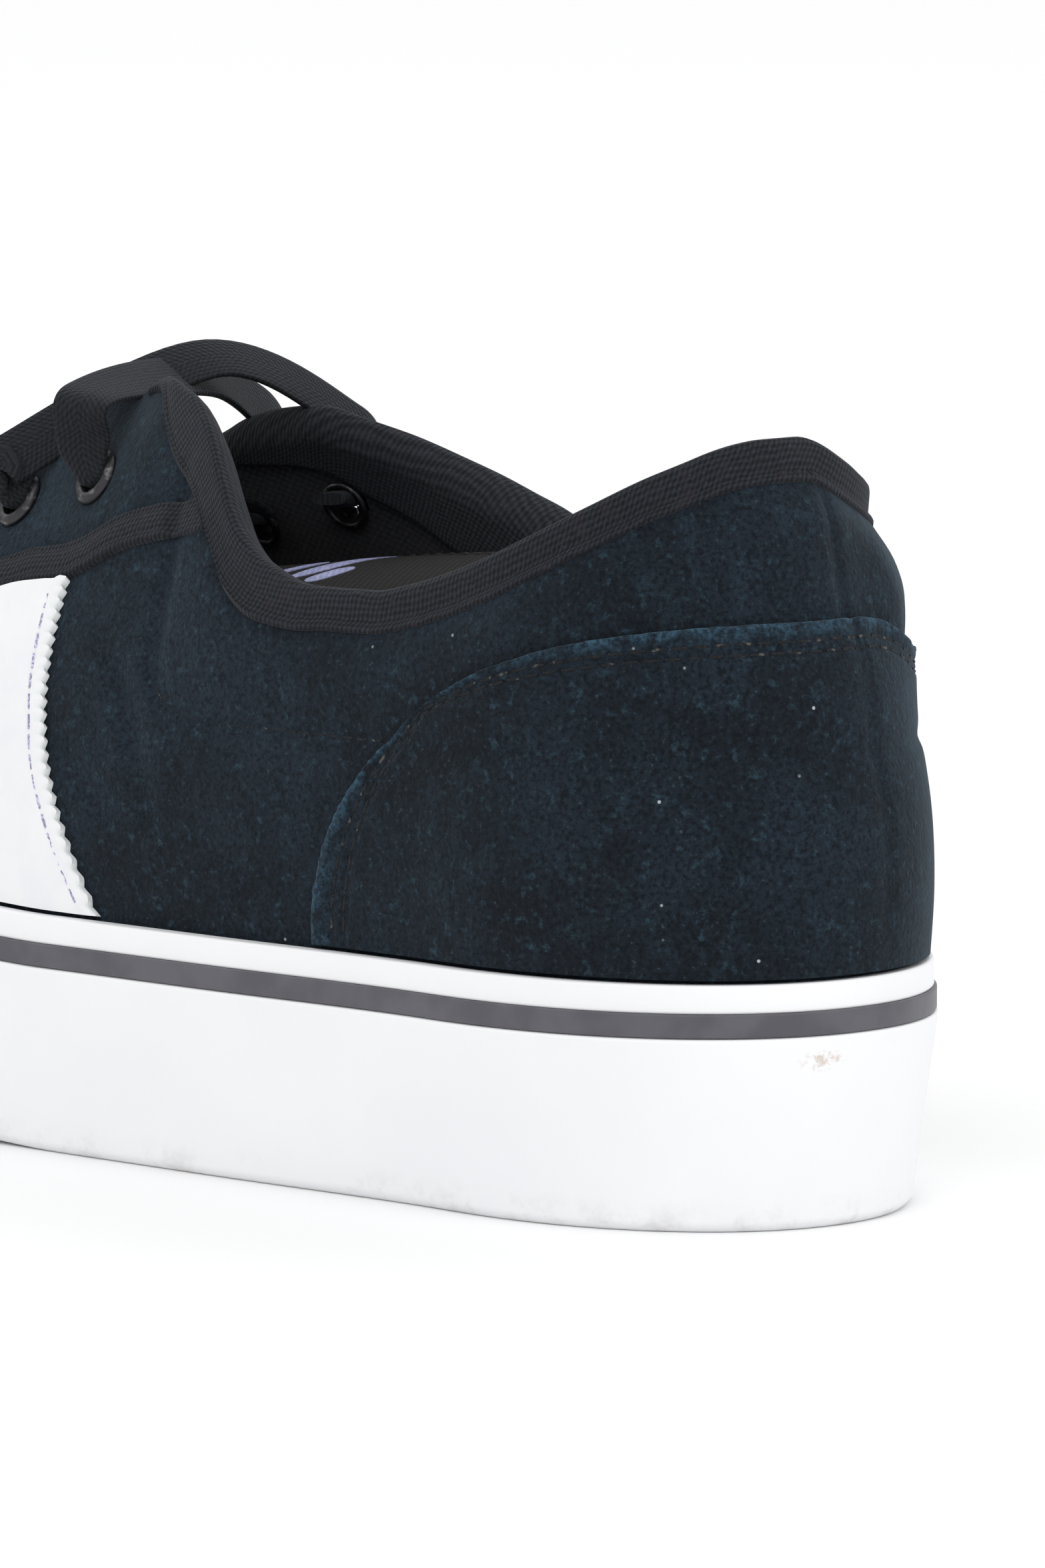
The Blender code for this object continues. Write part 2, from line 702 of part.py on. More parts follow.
def make_tongue(finish, collection):
    sections = []
    rows = 14
    for i in range(rows + 1):
        share = math.sin(math.pi / 2 * i / rows)
        along = TONGUE_FRONT + (TONGUE_BACK - TONGUE_FRONT) * share
        under_vamp = read_table(CREST, "height", along / LENGTH) * INSTEP_HEIGHT - WALL - TONGUE_FIT
        top = min(read_table(TONGUE, "height", share) * INSTEP_HEIGHT, under_vamp)
        half = read_table(TONGUE, "width", share) * TONGUE_HALF_WIDTH
        droop = read_table(TONGUE, "droop", share) * half
        centre = crest_side(along)
        across = [-1, -0.8, -0.4, 0, 0.4, 0.8, 1]
        upper_face = [(along, centre + half * t, top - droop * t * t) for t in across]
        edge = TONGUE_THICKNESS
        lower_face = [(x, centre + (y - centre) * 0.97, z - edge) for x, y, z in reversed(upper_face)]
        sections.append(upper_face + lower_face)
    return swept("tongue", sections, finish, collection)


def eyelet_places():
    """Centre, outward direction and direction across the throat of each eyelet, top pair first."""
    places = []
    for row in range(EYELET_PAIRS):
        along = FIRST_EYELET + row * EYELET_PITCH
        for side in (1, -1):
            col = column_at(along, side)
            angle = angle_below(col, angle_at_gap(col, throat_gap(along)), EYELET_EDGE)
            centre = Vector(upper_point(col, angle))
            ahead = Vector(upper_point(column_at(along + 1 * MM, side), angle))
            lower = Vector(upper_point(col, angle - 0.03))
            higher = Vector(upper_point(col, angle + 0.03))
            across = (higher - lower).normalized()
            out = (ahead - centre).cross(across).normalized()
            if out.z < 0:
                out.negate()
            places.append((centre, out, across))
    return places


def eyelet_cutter(index, centre, out, cutters):
    """Round cutter through the wall, wider than the eyelet's barrel."""
    bpy.ops.mesh.primitive_cylinder_add(vertices=12, radius=EYELET_BARREL + FIT, depth=5 * WALL)
    cutter = bpy.context.object
    cutter.name = "cut_eyelet_%d" % index
    cutter.location = place(*centre)
    cutter.rotation_euler = out.to_track_quat("Z", "Y").to_euler()
    for held in list(cutter.users_collection):
        held.objects.unlink(cutter)
    cutters.objects.link(cutter)
    cutter.hide_render = True
    cutter.display_type = "WIRE"
    return cutter


def eyelet_mesh(finish):
    """Turned metal eyelet: a rolled rim outside and a barrel through the wall."""
    profile = [
        (EYELET_HOLE, EYELET_RISE * 0.75),
        (EYELET_HOLE + 0.5 * MM, EYELET_RISE),
        (EYELET_RADIUS - 0.7 * MM, EYELET_RISE * 0.95),
        (EYELET_RADIUS, FIT + 0.35 * MM),
        (EYELET_RADIUS - 0.2 * MM, FIT),
        (EYELET_BARREL, FIT),
        (EYELET_BARREL, -WALL - 0.3 * MM),
        (EYELET_HOLE, -WALL - 0.3 * MM),
    ]
    steps = 10
    points = []
    for i in range(steps):
        turn = 2 * math.pi * i / steps
        points += [(r * math.cos(turn), r * math.sin(turn), z) for r, z in profile]
    mesh = bpy.data.meshes.new("eyelet")
    mesh.from_pydata(points, [], bridge(steps, len(profile), True))
    work = bmesh.new()
    work.from_mesh(mesh)
    bmesh.ops.recalc_face_normals(work, faces=work.faces)
    work.to_mesh(mesh)
    work.free()
    mesh.shade_smooth()
    mesh.materials.append(finish)
    return mesh


def make_eyelets(finish, collection):
    mesh = eyelet_mesh(finish)
    for index, (centre, out, across) in enumerate(eyelet_places()):
        side = "outer" if index % 2 == 0 else "inner"
        made = bpy.data.objects.new("eyelet_%s_%d" % (side, index // 2 + 1), mesh)
        made.location = place(*centre)
        made.rotation_euler = out.to_track_quat("Z", "Y").to_euler()
        collection.objects.link(made)


def lace_path(start, end, arch, peak):
    """Route of a flat strand from one eyelet over the throat to another: points and facings."""
    stand = EYELET_RISE + FIT + LACE_THICKNESS / 2
    (p0, n0, a0), (p1, n1, a1) = start, end
    first, last = p0 + n0 * stand, p1 + n1 * stand
    rise = 1.5 * MM + arch * 0.25
    mid = (first + last) / 2
    mid.z = peak
    knots = [
        (first - a0 * LACE_TAIL, n0),
        (first, n0),
        (first + a0 * EYELET_EDGE + n0 * rise, (n0 + n0 + n1).normalized()),
        (mid, (n0 + n1).normalized()),
        (last + a1 * EYELET_EDGE + n1 * rise, (n0 + n1 + n1).normalized()),
        (last, n1),
        (last - a1 * LACE_TAIL, n1),
    ]
    route = []
    for i in range(len(knots) - 1):
        a, b = knots[i], knots[i + 1]
        before, after = knots[max(i - 1, 0)][0], knots[min(i + 2, len(knots) - 1)][0]
        inner = 0 < i < len(knots) - 2
        steps = LACE_STEPS if inner else 1
        for step in range(steps):
            t = step / steps
            bend = 0.5 * (2 * a[0] + (b[0] - before) * t + (2 * before - 5 * a[0] + 4 * b[0] - after) * t**2
                          + (3 * a[0] - before - 3 * b[0] + after) * t**3)
            route.append((bend, (a[1] * (1 - t) + b[1] * t).normalized()))
    route.append(knots[-1])
    return route


def strand(name, route, finish, collection):
    """Flat woven strand along a route of points and facings."""
    sections = []
    for i, (point, facing) in enumerate(route):
        tangent = (route[min(i + 1, len(route) - 1)][0] - route[max(i - 1, 0)][0]).normalized()
        wide = facing.cross(tangent).normalized()
        face = tangent.cross(wide)
        w, t = wide * LACE_WIDTH / 2, face * LACE_THICKNESS / 2
        sections.append([tuple(point + w * a + t * b) for a, b in ((-1, -0.6), (-1, 0.6), (-0.8, 1), (0.8, 1),
                                                                  (1, 0.6), (1, -0.6), (0.8, -1), (-0.8, -1))])
    return swept(name, sections, finish, collection)


def make_lace(finish, collection, cutters):
    """Crossings over rows 1-2 and 3-4 and a bar over the last row, each one joined solid."""
    places = eyelet_places()
    for index, (row, arch) in enumerate(((0, LACE_ARCH), (2, LACE_ARCH_LOWER))):
        outer_top, inner_top = places[2 * row], places[2 * row + 1]
        outer_low, inner_low = places[2 * row + 2], places[2 * row + 3]
        peak = outer_top[0].z + EYELET_RISE + arch
        under_route = lace_path(outer_top, inner_low, arch, peak)
        over_route = lace_path(outer_low, inner_top, arch, peak + LACE_OVERLAP)
        under = strand("lace_crossing_%d" % (index + 1), under_route, finish, collection)
        over = strand("lace_over_%d" % (index + 1), over_route, finish, cutters)
        over.hide_render = True
        over.display_type = "WIRE"
        join = under.modifiers.new("crossing", "BOOLEAN")
        join.operation = "UNION"
        join.solver = "EXACT"
        join.object = over
    arch = LACE_ARCH_LOWER / 2
    bar_route = lace_path(places[-2], places[-1], arch, places[-2][0].z + EYELET_RISE + arch)
    strand("lace_bar", bar_route, finish, collection)


def main():
    for old in list(bpy.data.objects):
        bpy.data.objects.remove(old, do_unlink=True)
    parts = bpy.data.collections.new("skate_shoe")
    cutters = bpy.data.collections.new("cutters")
    for group in (parts, cutters):
        bpy.context.scene.collection.children.link(group)

    suede = material("navy_suede", (0.010, 0.018, 0.028), 0.95)
    white_rubber = material("white_rubber", (0.86, 0.87, 0.90), 0.45)
    dark_rubber = material("dark_rubber", (0.045, 0.043, 0.052), 0.5)
    leather = material("white_leather", (0.88, 0.88, 0.90), 0.5)
    tape = material("black_tape", (0.016, 0.015, 0.018), 0.9)
    twill = material("brown_black_twill", (0.028, 0.023, 0.022), 0.9)
    metal = material("dark_metal", (0.10, 0.10, 0.11), 0.4, 0.9)
    cord = material("black_cord", (0.013, 0.014, 0.018), 0.9)

    make_outsole(white_rubber, parts)
    make_side_band(white_rubber, parts)
    make_stripe(dark_rubber, parts)
    make_insole(twill, parts)
    make_upper(suede, parts, cutters)
    make_counter(suede, parts)
    make_panel("side_panel_outer", 1, leather, parts)
    make_panel("side_panel_inner", -1, leather, parts)
    make_tape("eyestay_tape_outer", 1, tape, parts)
    make_tape("eyestay_tape_inner", -1, tape, parts)
    make_binding(tape, parts)
    make_tongue(twill, parts)
    make_eyelets(metal, parts)
    make_lace(cord, parts, cutters)


main()
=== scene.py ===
"""Looks of the left skateboarding shoe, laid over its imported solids. Metres, +X to the toe, +Z up."""
import math
from collections import namedtuple
from functools import lru_cache

import bmesh
import bpy
import numpy as np
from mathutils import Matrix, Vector, noise


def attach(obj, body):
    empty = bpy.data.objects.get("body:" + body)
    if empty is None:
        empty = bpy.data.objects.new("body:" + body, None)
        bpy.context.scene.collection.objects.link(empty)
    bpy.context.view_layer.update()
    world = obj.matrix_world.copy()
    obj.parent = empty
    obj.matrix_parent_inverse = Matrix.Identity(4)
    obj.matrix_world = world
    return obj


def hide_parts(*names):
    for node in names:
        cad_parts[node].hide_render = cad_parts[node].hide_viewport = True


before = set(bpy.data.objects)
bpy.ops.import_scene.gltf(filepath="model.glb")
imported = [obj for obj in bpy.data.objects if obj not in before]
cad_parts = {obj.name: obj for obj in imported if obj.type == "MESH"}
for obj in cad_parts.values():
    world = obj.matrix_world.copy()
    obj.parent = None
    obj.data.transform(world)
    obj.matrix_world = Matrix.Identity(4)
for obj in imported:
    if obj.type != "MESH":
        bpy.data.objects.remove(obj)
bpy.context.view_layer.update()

MM = 0.001
BODY = "root"

# Sizes of the shoe. Most are the solids' own; the heel, rim, tape, binding, tongue and lace are set finer.
LENGTH = 292 * MM
BALL_WIDTH = 104 * MM
HEEL_WIDTH = 69.6 * MM
HEEL_HEIGHT = 98.5 * MM
INSTEP_HEIGHT = 111 * MM
TOE_SPRING = 10 * MM
ARCH_LIFT = 0.8 * MM
HEEL_ROUND = 47 * MM
TOE_ROUND = 82 * MM
HEEL_POWER = 2.1
TOE_POWER = 2.2
BAND_HEIGHT = 25.6 * MM
STRIPE_HEIGHT = 3.1 * MM
TOP_BAND_HEIGHT = 3.7 * MM
BAND_WALL = 3.0 * MM
BAND_TAPER = 3.5 * MM
BAND_DROP = 0.16
FLOOR_BEVEL = 0.8 * MM
STRIPE_DEPTH = 1.3 * MM
TOP_BAND_STEP = 0.6 * MM
TUCK = 3.8 * MM
TUCK_HEIGHT = 20 * MM
HEEL_PLATFORM = 17 * MM
FOREFOOT_PLATFORM = 12 * MM
WALL = 2.0 * MM
PADDING = 2.4 * MM
PAD_DEPTH = 26 * MM
PAD_SOFT = 7 * MM
BELLY = 1.2 * MM
BELLY_HEIGHT = 45 * MM
ACHILLES_CURVE = 3.0 * MM
HEEL_BULGE = 2.6 * MM
HEEL_BULGE_OUTER = 0.9 * MM
HEEL_SWELL = 1.0 * MM
BULGE_HEIGHT = 0.81             # share of the heel's height
SWELL_HEIGHTS = (38 * MM, 66 * MM)
COUNTER_DROP = 5.0 * MM
MEDIAL_SAG = 4.0 * MM
FLARE_OUTER = 3.4 * MM
FLARE_INNER = 2.6 * MM
HEEL_SPINE = 40 * MM
TOE_SPINE = 56 * MM
THROAT_FRONT = 199 * MM
THROAT_ROUND = 10 * MM
THROAT_HALF_GAP = 15.5 * MM
CORNER_ROUND = 0.045
FIT = 0.35 * MM
COUNTER_THICKNESS = 1.3 * MM
COUNTER_LENGTH = 69 * MM
COUNTER_HEIGHT = 77 * MM
COUNTER_POWER = 2.1
COUNTER_SPAN = 0.9 * COUNTER_LENGTH
COUNTER_ROWS = (3.8 * MM, 5.8 * MM)
COUNTER_LIFT = 0.2 * MM
PANEL_THICKNESS = 1.1 * MM
PANEL_REAR = 121.6 * MM
PANEL_FRONT = 164 * MM
PANEL_FLARE = 13 * MM
PANEL_SLANT = 16 * MM
PANEL_TALL = 46 * MM
PANEL_STITCH = 2.3 * MM
PANEL_STITCH_APART = 36 * MM
TOOTH_PITCH = 1.9 * MM
TOOTH_DEPTH = 0.75 * MM
TAPE_THICKNESS = 0.9 * MM
TAPE_WIDTH = 4.9 * MM
TAPE_STITCH = 1.1 * MM
TAPE_START = {1: 7 * MM, -1: 3 * MM}    # behind the collar's front, by side
EYESTAY_WIDTH = 23.2 * MM
BINDING_WIDTH = 4.3 * MM
BINDING_FRONT_WIDTH = 8.0 * MM
COLLAR_FRONT = 102 * MM
CORNER = 116 * MM
BINDING_END = 120.5 * MM
BINDING_END_INNER = 142 * MM
BINDING_STITCH = 1.5 * MM
BINDING_CROWN = 1.45 * MM
TAPE_FRONT = 176 * MM
TONGUE_THICKNESS = 3.2 * MM
TONGUE_FRONT = 210 * MM
TONGUE_BACK = 74 * MM
TONGUE_HALF_WIDTH = 25 * MM
TONGUE_FIT = 0.45 * MM
TONGUE_LIFT = 2.8 * MM
TONGUE_TILT = 4.5 * MM
TONGUE_STITCH = 4.5 * MM
EYELET_PAIRS = 5
EYELET_PITCH = 17.2 * MM
FIRST_EYELET = 123 * MM
EYELET_EDGE = 13.4 * MM
EYELET_RADIUS = 4.1 * MM
EYELET_HOLE = 2.2 * MM
EYELET_BARREL = 2.7 * MM
EYELET_RISE = 1.2 * MM
EYELET_FOOT = WALL + 0.4 * MM
LACE_WIDTH = 8.0 * MM
LACE_THICKNESS = 1.4 * MM
LACE_ARCH = 12.0 * MM
LACE_ARCH_LOWER = 6.5 * MM
LACE_RISES = ((7.0 * MM, 8.5 * MM), (2.4 * MM, 5.5 * MM))
LACE_RISES_LOWER = ((3.5 * MM, 2.5 * MM), (2.5 * MM, 3.5 * MM))
LACE_TURN_LOWER = 0.15
LACE_LEANS = (0.672, 1.68)       # how far the faces at a strand's two ends turn to the heel
SIDE_NAMES = {1: "outer", -1: "inner"}

# Fineness of the meshes
SIDE_STEPS = 190             # sections down each side of the upper
WALL_STEPS = 56              # rows up its wall
BAND_STEPS = 170

Plan = namedtuple("Plan", "along heel ball swing crest")
PLAN = [
    Plan(0.00, 1.00, 0.00, 0.000, 0.000),
    Plan(0.15, 1.00, 0.00, 0.000, 0.000),
    Plan(0.30, 0.85, 0.14, 0.018, 0.012),
    Plan(0.45, 0.60, 0.35, 0.032, 0.018),
    Plan(0.60, 0.20, 0.75, 0.030, 0.012),
    Plan(0.72, 0.00, 0.99, 0.002, -0.006),
    Plan(0.82, 0.00, 0.97, -0.024, -0.030),
    Plan(0.92, 0.00, 0.90, -0.050, -0.050),
    Plan(1.00, 0.00, 0.84, -0.068, -0.066),
]

Crest = namedtuple("Crest", "along height power")
CREST = [
    Crest(0.00, 1.13, 2.7),
    Crest(0.15, 1.10, 2.7),
    Crest(0.30, 1.04, 2.6),
    Crest(0.38, 1.00, 2.4),
    Crest(0.43, 0.93, 2.3),
    Crest(0.50, 0.84, 2.3),
    Crest(0.58, 0.73, 2.2),
    Crest(0.66, 0.63, 2.2),
    Crest(0.74, 0.57, 2.4),
    Crest(0.82, 0.53, 2.7),
    Crest(0.90, 0.51, 2.9),
    Crest(1.00, 0.50, 2.9),
]

Rim = namedtuple("Rim", "along lateral medial")
RIM = [
    Rim(0.000, 1.007, 1.007),
    Rim(0.004, 1.006, 0.993),
    Rim(0.010, 1.002, 0.978),
    Rim(0.020, 0.993, 0.962),
    Rim(0.032, 0.980, 0.947),
    Rim(0.055, 0.956, 0.930),
    Rim(0.084, 0.920, 0.913),
    Rim(0.116, 0.880, 0.887),
    Rim(0.154, 0.836, 0.832),
    Rim(0.188, 0.804, 0.787),
    Rim(0.210, 0.791, 0.767),
    Rim(0.247, 0.789, 0.771),
    Rim(0.280, 0.815, 0.811),
    Rim(0.300, 0.854, 0.840),
    Rim(0.316, 0.908, 0.857),
    Rim(0.335, 0.970, 0.879),
    Rim(0.355, 1.008, 0.900),
    Rim(0.375, 1.024, 0.922),
    Rim(0.400, 1.045, 0.948),
    Rim(0.450, 1.150, 1.030),
    Rim(1.000, 1.300, 1.300),
]

Tongue = namedtuple("Tongue", "along height width droop")
TONGUE = [
    Tongue(0.00, 0.600, 0.84, 0.17),
    Tongue(0.15, 0.560, 0.88, 0.22),
    Tongue(0.35, 0.590, 0.94, 0.23),
    Tongue(0.60, 0.638, 1.00, 0.16),
    Tongue(0.85, 0.664, 0.96, 0.09),
    Tongue(0.93, 0.666, 0.88, 0.06),
    Tongue(0.98, 0.665, 0.70, 0.04),
    Tongue(1.00, 0.664, 0.45, 0.03),
]

# Soft creases: where along and how high, on which side (0 is both), how long and wide, how
# far the line leans from level in degrees, and how deep
Crease = namedtuple("Crease", "along height side length width lean depth")
CREASES = [
    Crease(104 * MM, 60 * MM, 1, 11 * MM, 3.0 * MM, 62, 0.55 * MM),
    Crease(112 * MM, 52 * MM, 1, 12 * MM, 3.5 * MM, 38, 0.35 * MM),
    Crease(92 * MM, 47 * MM, 1, 15 * MM, 4.0 * MM, 12, 0.35 * MM),
    Crease(76 * MM, 41 * MM, 1, 9 * MM, 3.0 * MM, -18, 0.25 * MM),
    Crease(106 * MM, 58 * MM, -1, 12 * MM, 3.0 * MM, 55, 0.45 * MM),
    Crease(88 * MM, 46 * MM, -1, 14 * MM, 4.0 * MM, 8, 0.35 * MM),
    Crease(201 * MM, 49 * MM, 0, 13 * MM, 2.6 * MM, 58, 0.50 * MM),
    Crease(209 * MM, 47 * MM, 0, 14 * MM, 2.8 * MM, 66, 0.55 * MM),
    Crease(218 * MM, 45 * MM, 0, 12 * MM, 2.8 * MM, 72, 0.40 * MM),
    Crease(190 * MM, 46 * MM, 0, 9 * MM, 2.6 * MM, 40, 0.30 * MM),
]


def smooth(value, start, end):
    """0 before start, 1 after end, with a soft turn at both."""
    t = min(1.0, max(0.0, (value - start) / (end - start)))
    return t * t * (3 - 2 * t)


def hump(value, width):
    """1 at zero, falling away on both sides over a width."""
    return math.exp(-(value / width) ** 2)


def read_table(rows, column, along):
    """Value of one column at a share along the table, on a smooth curve through its rows."""
    xs = [row.along for row in rows]
    ys = [getattr(row, column) for row in rows]
    along = min(max(along, xs[0]), xs[-1])
    i = min(max(int(np.searchsorted(xs, along)) - 1, 0), len(xs) - 2)
    steps = [(ys[j + 1] - ys[j]) / (xs[j + 1] - xs[j]) for j in range(len(xs) - 1)]

    def slope(j):
        if j == 0 or j == len(steps):
            return steps[min(j, len(steps) - 1)]
        if steps[j - 1] * steps[j] <= 0:
            return 0.0
        return 2 * steps[j - 1] * steps[j] / (steps[j - 1] + steps[j])

    span = xs[i + 1] - xs[i]
    t = (along - xs[i]) / span
    return ((2 * t**3 - 3 * t**2 + 1) * ys[i] + (t**3 - 2 * t**2 + t) * span * slope(i)
            + (3 * t**2 - 2 * t**3) * ys[i + 1] + (t**3 - t**2) * span * slope(i + 1))


# The plan outline and the sole's levels. Lengths along the shoe run from the back of the heel.

def half_width(along):
    share = along / LENGTH
    heel, ball = read_table(PLAN, "heel", share), read_table(PLAN, "ball", share)
    full = (heel * HEEL_WIDTH + ball * BALL_WIDTH) / 2
    heel = min(1.0, along / HEEL_ROUND)
    toe = min(1.0, (LENGTH - along) / TOE_ROUND)
    heel_end = (1 - (1 - heel) ** HEEL_POWER) ** (1 / HEEL_POWER)
    toe_end = (1 - (1 - toe) ** TOE_POWER) ** (1 / TOE_POWER)
    return full * heel_end * toe_end


def middle(along):
    return read_table(PLAN, "swing", along / LENGTH) * BALL_WIDTH


def plan_edge(along, side):
    return middle(along) + side * half_width(along)


def crest_side(along):
    return read_table(PLAN, "crest", along / LENGTH) * BALL_WIDTH


def spring(along):
    waist = smooth(along / LENGTH, 0.40, 0.48) * (1 - smooth(along / LENGTH, 0.54, 0.62))
    toe = max(0.0, along / LENGTH - 0.78) / 0.22
    return ARCH_LIFT * waist + TOE_SPRING * toe ** 1.8


def level(along, height):
    """Height of a line of the band, which sinks to the toe and rises with its spring."""
    return spring(along) + height * (1 - BAND_DROP * smooth(along / LENGTH, 0.50, 0.85))


def platform(along):
    drop = smooth(along / LENGTH, 0.25, 0.65)
    return spring(along) + HEEL_PLATFORM + (FOREFOOT_PLATFORM - HEEL_PLATFORM) * drop


def band_top(along):
    return level(along, BAND_HEIGHT + STRIPE_HEIGHT + TOP_BAND_HEIGHT) + FIT


def throat_gap(along):
    """Half the gap between the eyestays, closing in a round end in front."""
    taper = THROAT_HALF_GAP * (1 - 0.42 * smooth(along, CORNER, THROAT_FRONT))
    if along >= THROAT_FRONT:
        return 0.0
    end = max(0.0, 1 - (THROAT_FRONT - along) / THROAT_ROUND)
    return taper * math.sqrt(1 - end * end)


CENTRE_X = LENGTH / 2
plan = [a / 1000 * LENGTH for a in range(1001)]
CENTRE_Y = (max(plan_edge(a, 1) for a in plan) + min(plan_edge(a, -1) for a in plan)) / 2


def place(x, y, z):
    """From lengths measured at the heel to the part's own frame."""
    return Vector((x - CENTRE_X, y - CENTRE_Y, z))


class Station:
    """One section of the upper's surface, at a length along one side (1 outer, -1 inner)."""

    def __init__(self, along, side):
        near = 0.05 * MM
        self.along, self.side, self.x = along, side, along
        self.y = plan_edge(along, side)
        if along < near or along > LENGTH - near:
            self.out_x, self.out_y = (-1.0 if along < near else 1.0), 0.0
        else:
            slope = (plan_edge(along + near, side) - plan_edge(along - near, side)) / (2 * near)
            size = math.hypot(1, slope)
            self.out_x, self.out_y = -slope * side / size, side / size
        foot_x, foot_y = self.out_at(-BAND_WALL - FIT)
        spine = min(max(along, HEEL_SPINE), LENGTH - TOE_SPINE)
        height = read_table(CREST, "height", spine / LENGTH) * INSTEP_HEIGHT
        if side < 0:
            sag = smooth(spine, CORNER / 2, CORNER) - smooth(spine, CORNER, THROAT_FRONT - THROAT_ROUND)
            height -= MEDIAL_SAG * sag
        self.top = (spine, crest_side(spine), height)
        self.power = read_table(CREST, "power", spine / LENGTH)
        self.base = platform(along) + FIT
        reach_x, reach_y = foot_x - self.top[0], foot_y - self.top[1]
        self.reach = math.hypot(reach_x, reach_y)
        self.way = (reach_x / self.reach, reach_y / self.reach)
        self.spring = spring(along)
        self.band = band_top(along)
        self.heel = hump(along, HEEL_ROUND / 3)
        bulge = HEEL_BULGE_OUTER if side > 0 else HEEL_BULGE
        self.bulge = bulge * smooth(along, 0.5 * MM, 9 * MM) * (1 - smooth(along, 20 * MM, 48 * MM))
        self.swell = HEEL_SWELL * hump(along, 22 * MM)
        self.closed = throat_gap(along) == 0.0
        self.flare, self.flare_end = 0.0, self.at_gap(throat_gap(along))
        self.flare_start = self.below(self.flare_end, EYELET_EDGE)
        loose = smooth(along, CORNER, CORNER + 17 * MM) * (1 - smooth(along, 150 * MM, THROAT_FRONT))
        self.flare = (FLARE_OUTER if side > 0 else FLARE_INNER) * loose
        self.rim = self.rim_angle()
        self.rim_z = self.point(self.rim)[2]

    def out_at(self, offset):
        return self.x + self.out_x * offset, self.y + self.out_y * offset

    def point(self, angle, depth=0.0):
        """Point of the upper in the heel's measure, depth inside its outer face."""
        height = self.base + (self.top[2] - depth - self.base) * math.sin(angle) ** (2 / self.power)
        wide = (self.reach - depth) * max(0.0, math.cos(angle)) ** (2 / self.power)
        above = min(1.0, max(0.0, (height - self.band) / BELLY_HEIGHT))
        wide += BELLY * math.sin(math.pi * above)
        wide -= TUCK * max(0.0, 1 - (height - self.spring) / TUCK_HEIGHT)
        wide -= ACHILLES_CURVE * self.heel * smooth(height, HEEL_HEIGHT / 2, HEEL_HEIGHT * 0.85)
        wide += self.bulge * hump(height - HEEL_HEIGHT * BULGE_HEIGHT, 7.5 * MM)
        wide += self.swell * (1 - smooth(height, *SWELL_HEIGHTS))
        if angle >= math.pi / 2 - 1e-9:
            wide = 0.0
        if self.flare and angle > self.flare_start:
            share = (angle - self.flare_start) / (self.flare_end - self.flare_start)
            height += self.flare * min(1.0, share) ** 1.5
        return (self.top[0] + self.way[0] * wide, self.top[1] + self.way[1] * wide, height)

    def at_height(self, height):
        share = min(1.0, max(0.0, (height - self.base) / (self.top[2] - self.base)))
        return math.asin(share ** (self.power / 2))

    def at_gap(self, gap):
        return math.acos(min(1.0, gap / self.reach) ** (self.power / 2))

    def rim_angle(self):
        column = "lateral" if self.side > 0 else "medial"
        collar = self.at_height(read_table(RIM, column, self.along / LENGTH) * HEEL_HEIGHT)
        throat = self.at_gap(throat_gap(self.along))
        if self.closed or abs(collar - throat) > 8 * CORNER_ROUND:
            return min(collar, throat)
        return -CORNER_ROUND * math.log(math.exp(-collar / CORNER_ROUND) + math.exp(-throat / CORNER_ROUND))

    def below(self, angle, distance):
        """Angle of the point a distance down the wall from another."""
        step = math.radians(0.5)
        here = Vector(self.point(angle))
        while distance > 0 and angle > step:
            lower = Vector(self.point(angle - step))
            length = (lower - here).length
            if length > distance:
                return angle - step * distance / length
            distance -= length
            angle -= step
            here = lower
        return angle

    def wall(self, angle):
        """Thickness of the wall, padded under the collar's rim."""
        below = self.rim_z - self.point(angle)[2]
        in_collar = 1 - smooth(self.along, COLLAR_FRONT - PAD_SOFT, COLLAR_FRONT + 2 * PAD_SOFT)
        pad = smooth(below, -PAD_SOFT, PAD_SOFT) * (1 - smooth(below, PAD_DEPTH * 0.5, PAD_DEPTH))
        return WALL + PADDING * pad * in_collar


@lru_cache(maxsize=None)
def station(along, side):
    return Station(along, side)


PAD_SEAM_HEIGHT = 60.5 * MM
PAD_SEAM_FRONT = 101 * MM
PAD_SOFTNESS = 3.5 * MM
PAD_PUFF = 0.9 * MM
PAD_TROUGH = 0.45 * MM
BACK_SEAM_DEPTH = 0.45 * MM
BACK_SEAM_SHIFT = 4.0 * MM


def pad_distance(st, height):
    """Signed distance inside the stitched edge of the collar's padding."""
    up = (height - PAD_SEAM_HEIGHT) / PAD_SOFTNESS
    back = (PAD_SEAM_FRONT - st.along) / PAD_SOFTNESS
    low = min(up, back)
    return PAD_SOFTNESS * (low - math.log(math.exp(low - up) + math.exp(low - back)))


